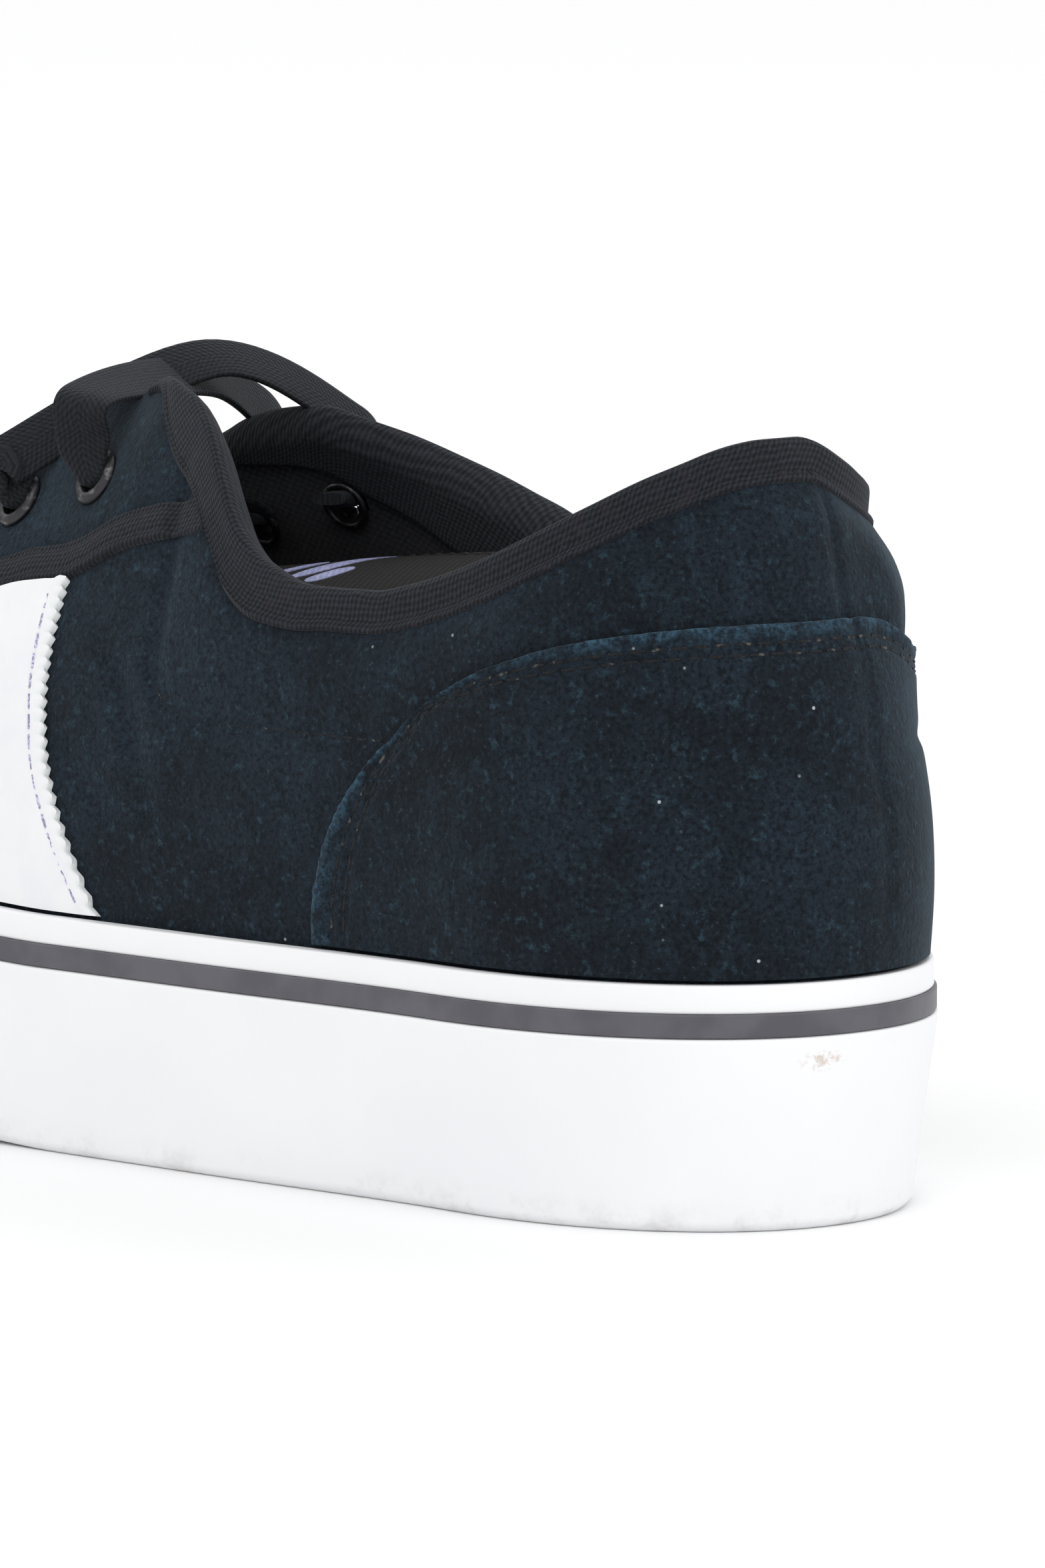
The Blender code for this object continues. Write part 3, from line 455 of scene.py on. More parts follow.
def relief(st, angle):
    """How far the suede stands out from the plain surface: padding, creases and the back seam."""
    x, y, z = st.point(angle)
    inside = pad_distance(st, z)
    under_rim = smooth(st.rim_z - z, 2 * MM, 9 * MM)
    out = PAD_PUFF * smooth(inside, 0, 9 * MM) * under_rim
    out -= PAD_TROUGH * hump(inside, 1.3 * MM) * under_rim
    for crease in CREASES:
        if crease.side and crease.side != st.side:
            continue
        dx, dz = st.along - crease.along, z - crease.height
        if abs(dx) + abs(dz) > 4 * crease.length:
            continue
        lean = math.radians(crease.lean)
        along = dx * math.cos(lean) + dz * math.sin(lean)
        across = (dz * math.cos(lean) - dx * math.sin(lean)) / crease.width
        bow = across + 0.5 * (along / crease.length) ** 2
        out -= crease.depth * (1 - 1.3 * bow * bow) * math.exp(-bow * bow - (along / crease.length) ** 2)
    seam = y - middle(st.along) + BACK_SEAM_SHIFT
    if st.along < HEEL_SPINE and x < 30 * MM:
        shown = smooth(z, st.band, st.band + 6 * MM) * smooth(st.rim_z - z, 3 * MM, 6 * MM)
        out -= BACK_SEAM_DEPTH * hump(seam, 0.7 * MM) * shown
    out += 0.22 * MM * noise.noise(Vector((x, y, z)) * 38) * smooth(z, st.band, st.band + 8 * MM)
    return out


def suede_point(st, angle, lift=0.0):
    return st.point(angle, -relief(st, angle) - lift)


def normal_at(along, side, angle):
    """Outward direction of the upper's surface."""
    step = 0.3 * MM
    st = station(along, side)
    ahead = Vector(station(min(along + step, LENGTH - step), side).point(angle))
    behind = Vector(station(max(along - step, step), side).point(angle))
    high = Vector(st.point(min(angle + 0.01, math.pi / 2 - 0.001)))
    low = Vector(st.point(max(angle - 0.01, 0.001)))
    return ((ahead - behind).cross(high - low) * side).normalized()


# Building meshes

def finished(name, points, faces, materials, face_slots=None, uvs=None, edge=None, angle=50):
    """Object from points in the heel's measure, with one face slot, length pair and edge share each."""
    mesh = bpy.data.meshes.new(name)
    mesh.from_pydata([place(*p) for p in points], [], faces)
    for finish in materials:
        mesh.materials.append(finish)
    if face_slots is not None:
        mesh.polygons.foreach_set("material_index", face_slots)
    if uvs is not None:
        layer = mesh.uv_layers.new(name="UVMap")
        loops = np.empty(len(mesh.loops), dtype=np.int32)
        mesh.loops.foreach_get("vertex_index", loops)
        layer.data.foreach_set("uv", np.asarray(uvs, dtype=np.float32)[loops].ravel())
    if edge is not None:
        shade = mesh.attributes.new("edge", "FLOAT", "POINT")
        shade.data.foreach_set("value", np.asarray(edge, dtype=np.float32))
    work = bmesh.new()
    work.from_mesh(mesh)
    bmesh.ops.remove_doubles(work, verts=work.verts, dist=0.004 * MM)
    bmesh.ops.dissolve_degenerate(work, edges=work.edges, dist=0.002 * MM)
    bmesh.ops.recalc_face_normals(work, faces=work.faces)
    work.to_mesh(mesh)
    work.free()
    mesh.shade_smooth()
    mesh.set_sharp_from_angle(angle=math.radians(angle))
    made = bpy.data.objects.new(name, mesh)
    bpy.context.scene.collection.objects.link(made)
    return made


def shell(name, outer, inner, materials, looped=False, uv=None, edge=None, skip=None, angle=50):
    """Closed shell between two grids of points, the second one inside the first."""
    nu, nv = len(outer), len(outer[0])
    points = [p for row in outer for p in row] + [p for row in inner for p in row]
    half = nu * nv
    faces, slots = [], []
    for i in range(nu if looped else nu - 1):
        k = (i + 1) % nu
        for j in range(nv - 1):
            a, b, c, d = i * nv + j, k * nv + j, k * nv + j + 1, i * nv + j + 1
            faces += [(a, b, c, d), (half + a, half + d, half + c, half + b)]
            slots += [0, len(materials) - 1]
        for j in (0, nv - 1):
            if j and skip and skip(i):
                continue
            a, b = i * nv + j, k * nv + j
            faces.append((a, half + a, half + b, b) if j == 0 else (a, b, half + b, half + a))
            slots.append(0)
    if not looped:
        for i in (0, nu - 1):
            for j in range(nv - 1):
                a, b = i * nv + j, i * nv + j + 1
                faces.append((a, b, half + b, half + a) if i == 0 else (a, half + a, half + b, b))
                slots.append(0)
    uvs = None if uv is None else [q for row in uv for q in row] * 2
    both = edge if isinstance(edge, tuple) else (edge, edge)
    shades = None if edge is None else [q for grid in both for row in grid for q in row]
    return finished(name, points, faces, materials, slots, uvs, shades, angle)


def gridded(rows, columns, at):
    """The grids that a shell takes, from what at gives for each row and column."""
    cells = [[at(i, j) for j in range(columns + 1)] for i in range(rows + 1)]
    return [[[cell[k] for cell in row] for row in cells] for k in range(len(cells[0][0]))]


def tube(name, sections, materials, closed=False, uv=None, angle=50):
    """Solid through a row of closed sections."""
    nu, nv = len(sections), len(sections[0])
    points = [p for row in sections for p in row]
    faces = []
    for i in range(nu if closed else nu - 1):
        a, b = i * nv, (i + 1) % nu * nv
        faces += [(a + j, b + j, b + (j + 1) % nv, a + (j + 1) % nv) for j in range(nv)]
    if not closed:
        faces += [tuple(reversed(range(nv))), tuple(range(len(points) - nv, len(points)))]
    uvs = None if uv is None else [q for row in uv for q in row]
    return finished(name, points, faces, materials, None, uvs, None, angle)


def dress(piece, slot, *nodes):
    """Rides on the shoe and stands for the CAD nodes, which it hides; the slot is not used."""
    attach(piece, BODY)
    if nodes:
        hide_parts(*nodes)


# Materials

class Net:
    """A material's nodes, with the small steps that the finishes below share."""

    def __init__(self, name, colour, roughness, **sockets):
        self.made = bpy.data.materials.new(name)
        self.made.use_nodes = True
        self.tree = self.made.node_tree
        self.shader = self.tree.nodes["Principled BSDF"]
        for key, value in {"Base_Color": colour, "Roughness": roughness, **sockets}.items():
            self.put(self.shader.inputs[key.replace("_", " ")], value)
        coords = self.tree.nodes.new("ShaderNodeTexCoord")
        self.spot, self.cloth = coords.outputs["Object"], coords.outputs["UV"]

    def put(self, socket, value):
        """Links another node's output to a socket, or sets its number or colour."""
        if hasattr(value, "is_output"):
            self.tree.links.new(value, socket)
        else:
            socket.default_value = (*value, 1) if socket.type == "RGBA" else value

    def node(self, kind, out, values, **settings):
        """One output of a new node, with its settings made and its inputs linked or set."""
        made = self.tree.nodes.new("ShaderNode" + kind)
        for key, value in settings.items():
            setattr(made, key, value)
        for key, value in values.items():
            self.put(made.inputs[key], value)
        return made.outputs[out]

    def stretched(self, scale, turn):
        """The shoe's own lengths, stretched and turned."""
        turned = [math.radians(t) for t in turn]
        return self.node("Mapping", "Vector", {"Vector": self.spot, "Scale": scale, "Rotation": turned})

    def grain(self, scale, detail=2.0, rough=0.5, source=None, distortion=0.0):
        return self.node("TexNoise", "Fac", {"Vector": source or self.spot, "Scale": scale, "Detail": detail,
                                             "Roughness": rough, "Distortion": distortion})

    def spots(self, scale):
        return self.node("TexVoronoi", "Distance", {"Vector": self.spot, "Scale": scale})

    def span(self, value, low, high, to_low=0.0, to_high=1.0):
        values = {"Value": value, "From Min": low, "From Max": high, "To Min": to_low, "To Max": to_high}
        return self.node("MapRange", "Result", values, interpolation_type="SMOOTHSTEP")

    def sum(self, kind, a, b=0.0):
        return self.node("Math", 0, {0: a, 1: b}, operation=kind)

    def mixed(self, *parts):
        """Sum of values, each times its share."""
        total = None
        for value, share in parts:
            part = value if share == 1 else self.sum("MULTIPLY", value, share)
            total = part if total is None else self.sum("ADD", total, part)
        return total

    def wave(self, pitch, *parts):
        """Sine over a sum of lengths, one turn to each pitch."""
        return self.sum("SINE", self.sum("MULTIPLY", self.mixed(*parts), 2 * math.pi / pitch))

    def blend(self, share, a, b):
        return self.node("Mix", 2, {0: share, 6: a, 7: b}, data_type="RGBA")

    def tint(self, base, value, low, high, colour, most=1.0):
        """Takes the base towards a colour where a value runs from low to high."""
        return self.blend(self.span(value, low, high, 0, most), base, colour)

    def attribute(self, name):
        return self.node("Attribute", "Fac", {}, attribute_name=name)

    def axes(self, source):
        axis_x = self.node("SeparateXYZ", 0, {0: source})
        return list(axis_x.node.outputs)

    def bump(self, height, strength, distance):
        """Lays a relief over those given before."""
        values = {"Strength": strength, "Distance": distance, "Height": height}
        for link in self.shader.inputs["Normal"].links:
            values["Normal"] = link.from_socket
        self.put(self.shader.inputs["Normal"], self.node("Bump", "Normal", values))

    def colour(self, value):
        self.put(self.shader.inputs["Base Color"], value)

    def rough(self, value):
        self.put(self.shader.inputs["Roughness"], value)


def suede():
    """Navy-black suede: cloudy nap, short fibres, pale raw edges and a few specks of dust."""
    net = Net("suede", (0.010, 0.018, 0.028), 0.92, Sheen_Weight=0.22, Sheen_Roughness=0.4,
              Sheen_Tint=(0.45, 0.62, 0.75), Specular_IOR_Level=0.15)
    brushed = net.grain(1, 3, 0.6, net.stretched((330, 330, 190), (8, 14, 0)))
    fibre = net.grain(1500, 4, 0.72)
    tone = net.tint((0.0072, 0.0104, 0.0150), net.grain(48, 4, 0.6, distortion=0.6), 0.34, 0.68,
                    (0.0128, 0.0200, 0.0300))
    tone = net.tint(tone, brushed, 0.50, 0.74, (0.018, 0.032, 0.045), 0.45)
    tone = net.tint(tone, net.grain(620, 3, 0.65), 0.56, 0.72, (0.024, 0.048, 0.066), 0.75)
    tone = net.tint(tone, fibre, 0.56, 0.36, (0.0022, 0.0040, 0.0062), 0.8)
    tone = net.tint(tone, fibre, 0.60, 0.74, (0.055, 0.085, 0.105), 0.65)
    frayed = net.sum("MULTIPLY", net.span(net.grain(330, 4, 0.7), 0.36, 0.62),
                     net.span(fibre, 0.40, 0.62, 0.25, 1))
    tone = net.blend(net.sum("MULTIPLY", net.attribute("edge"), frayed), tone, (0.040, 0.092, 0.140))
    speck = net.sum("MULTIPLY", net.span(net.spots(210), 0.060, 0.035),
                    net.span(net.grain(70, 1), 0.60, 0.66))
    net.colour(net.blend(speck, tone, (0.42, 0.45, 0.47)))
    net.bump(fibre, 0.55, 0.35 * MM)
    net.bump(brushed, 0.35, 0.5 * MM)
    return net.made


def lining():
    """Coarse black knit inside the shoe, with painted light: paler near the rim, where the collar's padding
    meets the light.
    """
    net = Net("lining", (0.012, 0.012, 0.014), 0.9, Sheen_Weight=0.12, Sheen_Roughness=0.5,
              Specular_IOR_Level=0.2)
    u, v, _ = net.axes(net.cloth)
    height = net.mixed((net.wave(0.95, (u, 0.35), (v, 1)), 0.11), (net.wave(1.15, (u, 1), (v, -1)), 0.08),
                       (net.grain(1300, 3, 0.65), 0.8))
    shown = net.span(height, 0.0, 0.85)
    # Painted light: the knit is paler near the rim (edge share 1) and darker deep inside the shoe.
    deep = net.blend(shown, (0.0050, 0.0052, 0.0070), (0.0185, 0.0190, 0.0250))
    near = net.blend(shown, (0.0070, 0.0074, 0.0092), (0.046, 0.049, 0.058))
    net.colour(net.blend(net.attribute("edge"), deep, near))
    net.bump(height, 0.6, 0.35 * MM)
    return net.made


def knit_tape():
    """Charcoal knitted tape with fine ribs and a faint purple cast."""
    net = Net("knit_tape", (0.016, 0.016, 0.018), 0.88, Sheen_Weight=0.09, Sheen_Roughness=0.45,
              Sheen_Tint=(0.68, 0.72, 0.80), Specular_IOR_Level=0.2)
    u, v, _ = net.axes(net.cloth)
    drift = net.sum("MULTIPLY", net.grain(240, 2), 0.8)
    fuzz = net.grain(1900, 4, 0.75)
    rib = net.wave(0.66, (v, 1), (drift, 1))
    loop = net.wave(0.80, (u, 1), (drift, 1), (v, 0.55))
    height = net.mixed((rib, 0.15), (loop, 0.17), (fuzz, 1))
    tone = net.tint((0.0052, 0.0062, 0.0080), height, 0.15, 0.95, (0.027, 0.031, 0.038))
    tone = net.tint(tone, net.grain(420, 2), 0.54, 0.72, (0.032, 0.025, 0.034), 0.28)
    net.colour(net.tint(tone, fuzz, 0.64, 0.78, (0.12, 0.125, 0.14), 0.55))
    net.bump(height, 0.7, 0.30 * MM)
    return net.made


def brown_twill():
    """Brown-black twill of the tongue's face and the footbed."""
    net = Net("brown_twill", (0.016, 0.013, 0.012), 0.9, Sheen_Weight=0.05, Sheen_Roughness=0.5,
              Specular_IOR_Level=0.12)
    x, y, _ = net.axes(net.spot)
    height = net.mixed((net.wave(1.1 * MM, (x, 1), (y, 0.7)), 0.25), (net.grain(1500, 3, 0.65), 1))
    net.colour(net.tint((0.0021, 0.0018, 0.0018), height, 0.3, 0.8, (0.0088, 0.0076, 0.0072)))
    net.bump(height, 0.6, 0.3 * MM)
    return net.made


def woven_lace():
    """Flat black lace: small chevrons of soft thread."""
    net = Net("woven_lace", (0.013, 0.014, 0.018), 0.85, Sheen_Weight=0.11, Sheen_Roughness=0.4,
              Sheen_Tint=(0.65, 0.70, 0.80), Specular_IOR_Level=0.25)
    u, v, _ = net.axes(net.cloth)
    drift = net.sum("MULTIPLY", net.grain(260, 2), 0.7)
    fuzz = net.grain(1700, 4, 0.75)
    chevron = net.wave(0.85, (u, 1), (drift, 1), (net.sum("ABSOLUTE", v), 0.8))
    height = net.mixed((chevron, 0.16), (net.wave(0.70, (v, 1), (drift, 1)), 0.12), (fuzz, 1))
    tone = net.tint((0.0036, 0.0041, 0.0056), height, 0.12, 0.95, (0.019, 0.0212, 0.0268))
    net.colour(net.tint(tone, fuzz, 0.66, 0.80, (0.09, 0.098, 0.115), 0.5))
    net.bump(height, 0.7, 0.32 * MM)
    return net.made


def thread(name, colour, glint=0.0):
    """Twisted thread, with a share of painted glints: pale painted highlights in noise spots."""
    net = Net(name, colour, 0.7, Sheen_Weight=0.05, Specular_IOR_Level=0.25)
    twist = net.grain(1, 1, 0.5, net.stretched((2600, 2600, 2600), (0, 35, 20)))
    lighter = tuple(min(1.0, c * 1.6 + 0.002) for c in colour)
    plain = net.tint(tuple(c * 0.7 for c in colour), twist, 0.40, 0.66, lighter)
    # Painted highlights: pale glints in noise spots, as strong as the glint share.
    net.colour(net.tint(plain, net.grain(850, 2), 0.60, 0.68, (0.12, 0.12, 0.11), glint))
    net.bump(twist, 0.6, 0.15 * MM)
    return net.made


def white_rubber():
    """Cool white moulded rubber: faint mould mottle, warm grey patches darker towards the bottom and one
    brown scuff.
    """
    net = Net("white_rubber", (0.84, 0.85, 0.87), 0.42, Specular_IOR_Level=0.4, Coat_Weight=0.05,
              Coat_Roughness=0.35)
    axes = net.axes(net.spot)
    base = net.tint((0.875, 0.880, 0.900), net.grain(26, 3, 0.5), 0.35, 0.70, (0.905, 0.910, 0.922))
    # Warm grey noisy patches, darker towards the bottom, within 5 mm of the floor.
    low = net.sum("MULTIPLY", net.span(axes[2], 5 * MM, 0.0),
                  net.span(net.grain(160, 4, 0.7), 0.48, 0.72, 0, 0.5))
    darkened_low = net.blend(low, base, (0.60, 0.585, 0.57))
    offs = [net.sum("DIVIDE", net.sum("SUBTRACT", axis, centre), reach)
            for axis, centre, reach in zip(axes, SCUFF, SCUFF_REACH)]
    far = net.mixed(*[(net.sum("MULTIPLY", off, off), 1) for off in offs])
    patch = net.sum("MULTIPLY", net.span(far, 1.0, 0.1),
                    net.span(net.grain(900, 4, 0.75), 0.46, 0.64, 0, 0.75))
    net.colour(net.blend(patch, darkened_low, (0.62, 0.50, 0.43)))
    net.rough(net.span(net.grain(60, 3), 0.3, 0.7, 0.36, 0.52))
    net.bump(net.grain(900, 2), 0.10, 0.1 * MM)
    return net.made


def dark_line():
    net = Net("dark_line", (0.045, 0.043, 0.052), 0.42, Specular_IOR_Level=0.4)
    net.colour(net.tint((0.080, 0.078, 0.092), net.grain(140, 3), 0.35, 0.65, (0.105, 0.102, 0.118)))
    net.bump(net.grain(1200, 2), 0.12, 0.1 * MM)
    return net.made


def white_leather():
    """Smooth white leather with a faint pore grain, and painted shade: a little greyer along its pinked edge,
    most in the notches.
    """
    net = Net("white_leather", (0.84, 0.845, 0.86), 0.46, Specular_IOR_Level=0.4, Coat_Weight=0.08,
              Coat_Roughness=0.4)
    soft = net.grain(120, 3, 0.55)
    tone = net.tint((0.83, 0.84, 0.865), soft, 0.35, 0.65, (0.865, 0.87, 0.885))
    # Painted shade from the edge share: greyer along the pinked edge.
    net.colour(net.tint(tone, net.attribute("edge"), 0.0, 1.0, (0.78, 0.83, 0.81)))
    net.bump(net.spots(950), 0.16, 0.12 * MM)
    net.bump(soft, 0.2, 0.3 * MM)
    return net.made


def dark_metal():
    net = Net("dark_metal", (0.07, 0.07, 0.078), 0.34, Metallic=0.9)
    net.colour(net.tint((0.050, 0.050, 0.056), net.grain(700, 3, 0.6), 0.52, 0.70, (0.17, 0.165, 0.165)))
    net.rough(net.span(net.grain(300, 2), 0.3, 0.7, 0.26, 0.46))
    return net.made


def lavender_print():
    """Lavender ink over the tongue's twill."""
    net = Net("lavender_print", (0.30, 0.32, 0.62), 0.7, Specular_IOR_Level=0.2)
    x, y, _ = net.axes(net.spot)
    weave = net.mixed((net.wave(1.1 * MM, (x, 1), (y, 1)), 0.06), (net.grain(1500, 3, 0.65), 1))
    net.colour(net.tint((0.25, 0.26, 0.44), weave, 0.35, 0.75, (0.42, 0.44, 0.66)))
    net.bump(weave, 0.5, 0.25 * MM)
    return net.made


def tread_rubber():
    """White sole rubber with a fine tread of bars and painted shade in its grooves, seen only from below."""
    net = Net("tread_rubber", (0.80, 0.81, 0.84), 0.5)
    x, y, _ = net.axes(net.spot)
    zig = net.sum("ABSOLUTE", net.sum("SUBTRACT", net.sum("FRACT", net.sum("DIVIDE", y, 12 * MM)), 0.5))
    bars = net.span(net.wave(5 * MM, (x, 1), (zig, 5 * MM)), -0.35, 0.1)
    # Painted shade: the grooves between the bars are darker grey than the bars.
    net.colour(net.blend(bars, (0.62, 0.62, 0.65), (0.80, 0.81, 0.84)))
    net.bump(bars, 0.9, 1.2 * MM)
    return net.made


# The brown scuff sits on the back of the band, a little to the outer side
SCUFF = tuple(place(1.0 * MM, 7.0 * MM, 22.3 * MM))
SCUFF_REACH = (3.2 * MM, 4.2 * MM, 1.7 * MM)

MATS = {
    "suede": suede(), "lining": lining(), "tape": knit_tape(), "twill": brown_twill(), "lace": woven_lace(),
    # The navy thread carries painted glints.
    "navy_thread": thread("navy_thread", (0.0040, 0.0055, 0.0080), 0.6),
    "black_thread": thread("black_thread", (0.009, 0.009, 0.011)),
    "pale_thread": thread("pale_thread", (0.42, 0.41, 0.56)),
    "rubber": white_rubber(), "line": dark_line(), "leather": white_leather(), "metal": dark_metal(),
    "print": lavender_print(), "tread": tread_rubber(),
}


# Upper

def close_lengths(count):
    """Lengths of the sections, closer at both ends, the collar's front and the throat's end."""
    angles = np.linspace(0, math.pi, 2001)
    along = LENGTH * (1 - np.cos(angles)) / 2
    weight = (1 + 1.3 * np.exp(-((along - COLLAR_FRONT) / (16 * MM)) ** 2)
              + 1.2 * np.exp(-((along - THROAT_FRONT) / (8 * MM)) ** 2))
    total = np.concatenate([[0], np.cumsum((weight[1:] + weight[:-1]) / 2)])
    picks = np.interp(np.linspace(0, total[-1], count + 1), total, angles)
    return [float(LENGTH * (1 - math.cos(a)) / 2) for a in picks]


def ring_of(lengths):
    return [station(a, 1) for a in lengths] + [station(a, -1) for a in reversed(lengths[1:-1])]


def make_upper():
    ring = ring_of(close_lengths(SIDE_STEPS))
    count = len(ring)

    def at(i, j):
        st = ring[i]
        angle = st.rim * j / WALL_STEPS
        spot = suede_point(st, angle)
        length_pair = (st.along * 1000 * st.side, spot[2] * 1000)
        return spot, st.point(angle, st.wall(angle)), length_pair, hump(st.rim_z - spot[2], 15 * MM)

    # pale is painted light on the lining, paler near the rim; on the suede over the rim it shows as the raw
    # edge.
    outer, inner, uv, pale = gridded(count - 1, WALL_STEPS, at)
    upper = shell("upper_suede", outer, inner, [MATS["suede"], MATS["lining"]], looped=True, uv=uv,
                  edge=([[0.0] * (WALL_STEPS + 1)] * count, pale),
                  skip=lambda i: ring[i].closed and ring[(i + 1) % count].closed)
    for centre, out, _ in eyelet_places():
        punch(upper, centre, out)
    dress(upper, "navy_suede", "upper")


def punch(piece, centre, out):
    """Clears the faces of a mesh inside an eyelet, whose barrel closes the rim of the hole."""
    work = bmesh.new()
    work.from_mesh(piece.data)
    spot = place(*centre)
    inside = []
    for face in work.faces:
        to_face = face.calc_center_median() - spot
        along = to_face.dot(out)
        if abs(along) < 6 * MM and (to_face - out * along).length < EYELET_BARREL:
            inside.append(face)
    bmesh.ops.delete(work, geom=inside, context="FACES")
    work.to_mesh(piece.data)
    work.free()


@lru_cache(maxsize=None)
def eyelet_places():
    """Centre, outward direction and direction across the throat of each eyelet, top pair first."""
    places = []
    for row in range(EYELET_PAIRS):
        along = FIRST_EYELET + row * EYELET_PITCH
        for side in (1, -1):
            st = station(along, side)
            angle = st.below(st.at_gap(throat_gap(along)), EYELET_EDGE)
            centre = Vector(st.point(angle))
            ahead = Vector(station(along + 1 * MM, side).point(angle))
            across = (Vector(st.point(angle + 0.03)) - Vector(st.point(angle - 0.03))).normalized()
            out = (ahead - centre).cross(across).normalized()
            places.append((centre, out if out.z > 0 else -out, across))
    return places


# Stitches

STITCH_STEPS, STITCH_SIDES = 5, 6


def stitches(name, routes, finish, slot, length=2.0 * MM, gap=0.75 * MM, radius=0.36 * MM):
    """Short threads along routes of points and outward directions, sunk a little at both ends."""
    points, faces = [], []
    for route in routes:
        spots = [p for p, _ in route]
        walked = np.concatenate([[0], np.cumsum([(b - a).length for a, b in zip(spots, spots[1:])])])

        def at(distance):
            i = min(max(int(np.searchsorted(walked, distance)) - 1, 0), len(route) - 2)
            t = (distance - walked[i]) / max(1e-9, walked[i + 1] - walked[i])
            return [a.lerp(b, t) for a, b in zip(route[i], route[i + 1])]

        start = gap / 2
        while start + length < walked[-1]:
            base = len(points)
            for k in range(STITCH_STEPS + 1):
                share = k / STITCH_STEPS
                spot, out = at(start + length * share)
                out.normalize()
                before, after = (at(start + length * min(1, max(0, share + step)))[0] for step in (-0.1, 0.1))
                wide = out.cross(after - before).normalized()
                swell = math.sin(math.pi * min(0.95, max(0.05, share))) ** 0.5
                sunk = spot + out * radius * (1.15 * swell - 0.95)
                for s in range(STITCH_SIDES):
                    turn = 2 * math.pi * s / STITCH_SIDES
                    way = wide * math.cos(turn) + out * math.sin(turn) * 0.8
                    points.append(tuple(sunk + way * radius * swell))
            for a in range(base, len(points) - STITCH_SIDES, STITCH_SIDES):
                b = a + STITCH_SIDES
                turns = [(s, (s + 1) % STITCH_SIDES) for s in range(STITCH_SIDES)]
                faces += [(a + s, a + t, b + t, b + s) for s, t in turns]
            faces.append(tuple(reversed(range(base, base + STITCH_SIDES))))
            faces.append(tuple(range(len(points) - STITCH_SIDES, len(points))))
            start += length + gap
    dress(finished(name, points, faces, [MATS[finish]], angle=80), slot)


def route_on(spots, lift):
    """Route of points and outward directions from (section, angle, thickness) spots on the upper."""
    route = []
    for st, angle, thick in spots:
        out = normal_at(st.along, st.side, angle)
        route.append((Vector(suede_point(st, angle, thick)) + out * lift, out))
    return route


# Overlays

def counter_spot(across, up, side):
    """Section and angle of a point of the counter, shares from 0 at the heel and sole to 1 at its edge."""
    ahead = (across * math.sqrt(1 - up * up / 2)) ** (2 / COUNTER_POWER)
    rise = (up * math.sqrt(1 - across * across / 2)) ** (2 / COUNTER_POWER)
    st = station(COUNTER_LENGTH * ahead, side)
    drop = COUNTER_DROP * smooth(st.along, 0, 11 * MM) if side < 0 else 0.0
    return st, st.at_height(st.band + (COUNTER_HEIGHT - drop - st.band) * rise)


def counter_lift(across, up):
    """Thickness of the counter, rounded over at its edge and pressed in under its two stitch rows."""
    from_edge = (1 - max(across, up)) * COUNTER_SPAN
    edge = math.sqrt(1 - (1 - min(1.0, from_edge / (1.3 * MM))) ** 2)
    thick = COUNTER_THICKNESS * (0.25 + 0.75 * edge)
    for row in COUNTER_ROWS:
        thick -= 0.28 * MM * hump(from_edge - row, 0.8 * MM)
    return COUNTER_LIFT + thick, from_edge


def make_counter():
    steps, rows = 74, 66
    shares = [math.sin(math.pi / 2 * i / steps) ** 2 for i in range(steps + 1)]
    order = [(s, -1) for s in shares[:0:-1]] + [(s, 1) for s in shares]

    def at(i, j):
        (across, side), up = order[i], 1 - (1 - j / rows) ** 1.35
        st, angle = counter_spot(across, up, side)
        lift, from_edge = counter_lift(across, up)
        if from_edge < 1.5 * MM:
            lift += 0.25 * MM * noise.noise(Vector((across * 60, up * 60, side * 9)))
        raw = hump(max(0.0, from_edge - 0.5 * MM), 2.0 * MM)
        return suede_point(st, angle, lift), st.point(angle, -FIT), raw

    outer, inner, edge = gridded(2 * steps, rows, at)
    counter = shell("heel_counter_suede", outer, inner, [MATS["suede"]], edge=edge)
    dress(counter, "navy_suede", "heel_counter")
    routes = []
    for row in COUNTER_ROWS:
        share = 1 - row / COUNTER_SPAN
        line = [(share, share * j / 60) for j in range(3, 61)]
        line += [(share * (j / 60) ** 2, share) for j in range(60, 0, -1)]
        spots = [(*counter_spot(a, u, 1), counter_lift(a, u)[0]) for a, u in line]
        spots += [(*counter_spot(a, u, -1), counter_lift(a, u)[0]) for a, u in reversed(line)]
        routes.append(route_on(spots, 0.1 * MM))
    stitches("counter_stitches", routes, "navy_thread", "navy_suede")


@lru_cache(maxsize=None)
def tape_angles(st):
    """Angles of the tape's lower and upper edge, along the foot of the eyestay."""
    high = st.below(st.at_gap(throat_gap(st.along)), EYESTAY_WIDTH)
    return st.below(high, TAPE_WIDTH), high


def panel_rear(share):
    return PANEL_REAR - PANEL_FLARE * (1 - share) ** 3


def panel_width(share):
    return PANEL_FRONT + PANEL_SLANT * (1 - share) - panel_rear(share)


def panel_spot(from_rear, share, side):
    """Section and angle of a point of the panel, from_rear being a share of its width."""
    st = station(panel_rear(share) + panel_width(share) * from_rear, side)
    low = st.at_height(st.band)
    return st, low + (st.below(tape_angles(st)[0], FIT) - low) * share


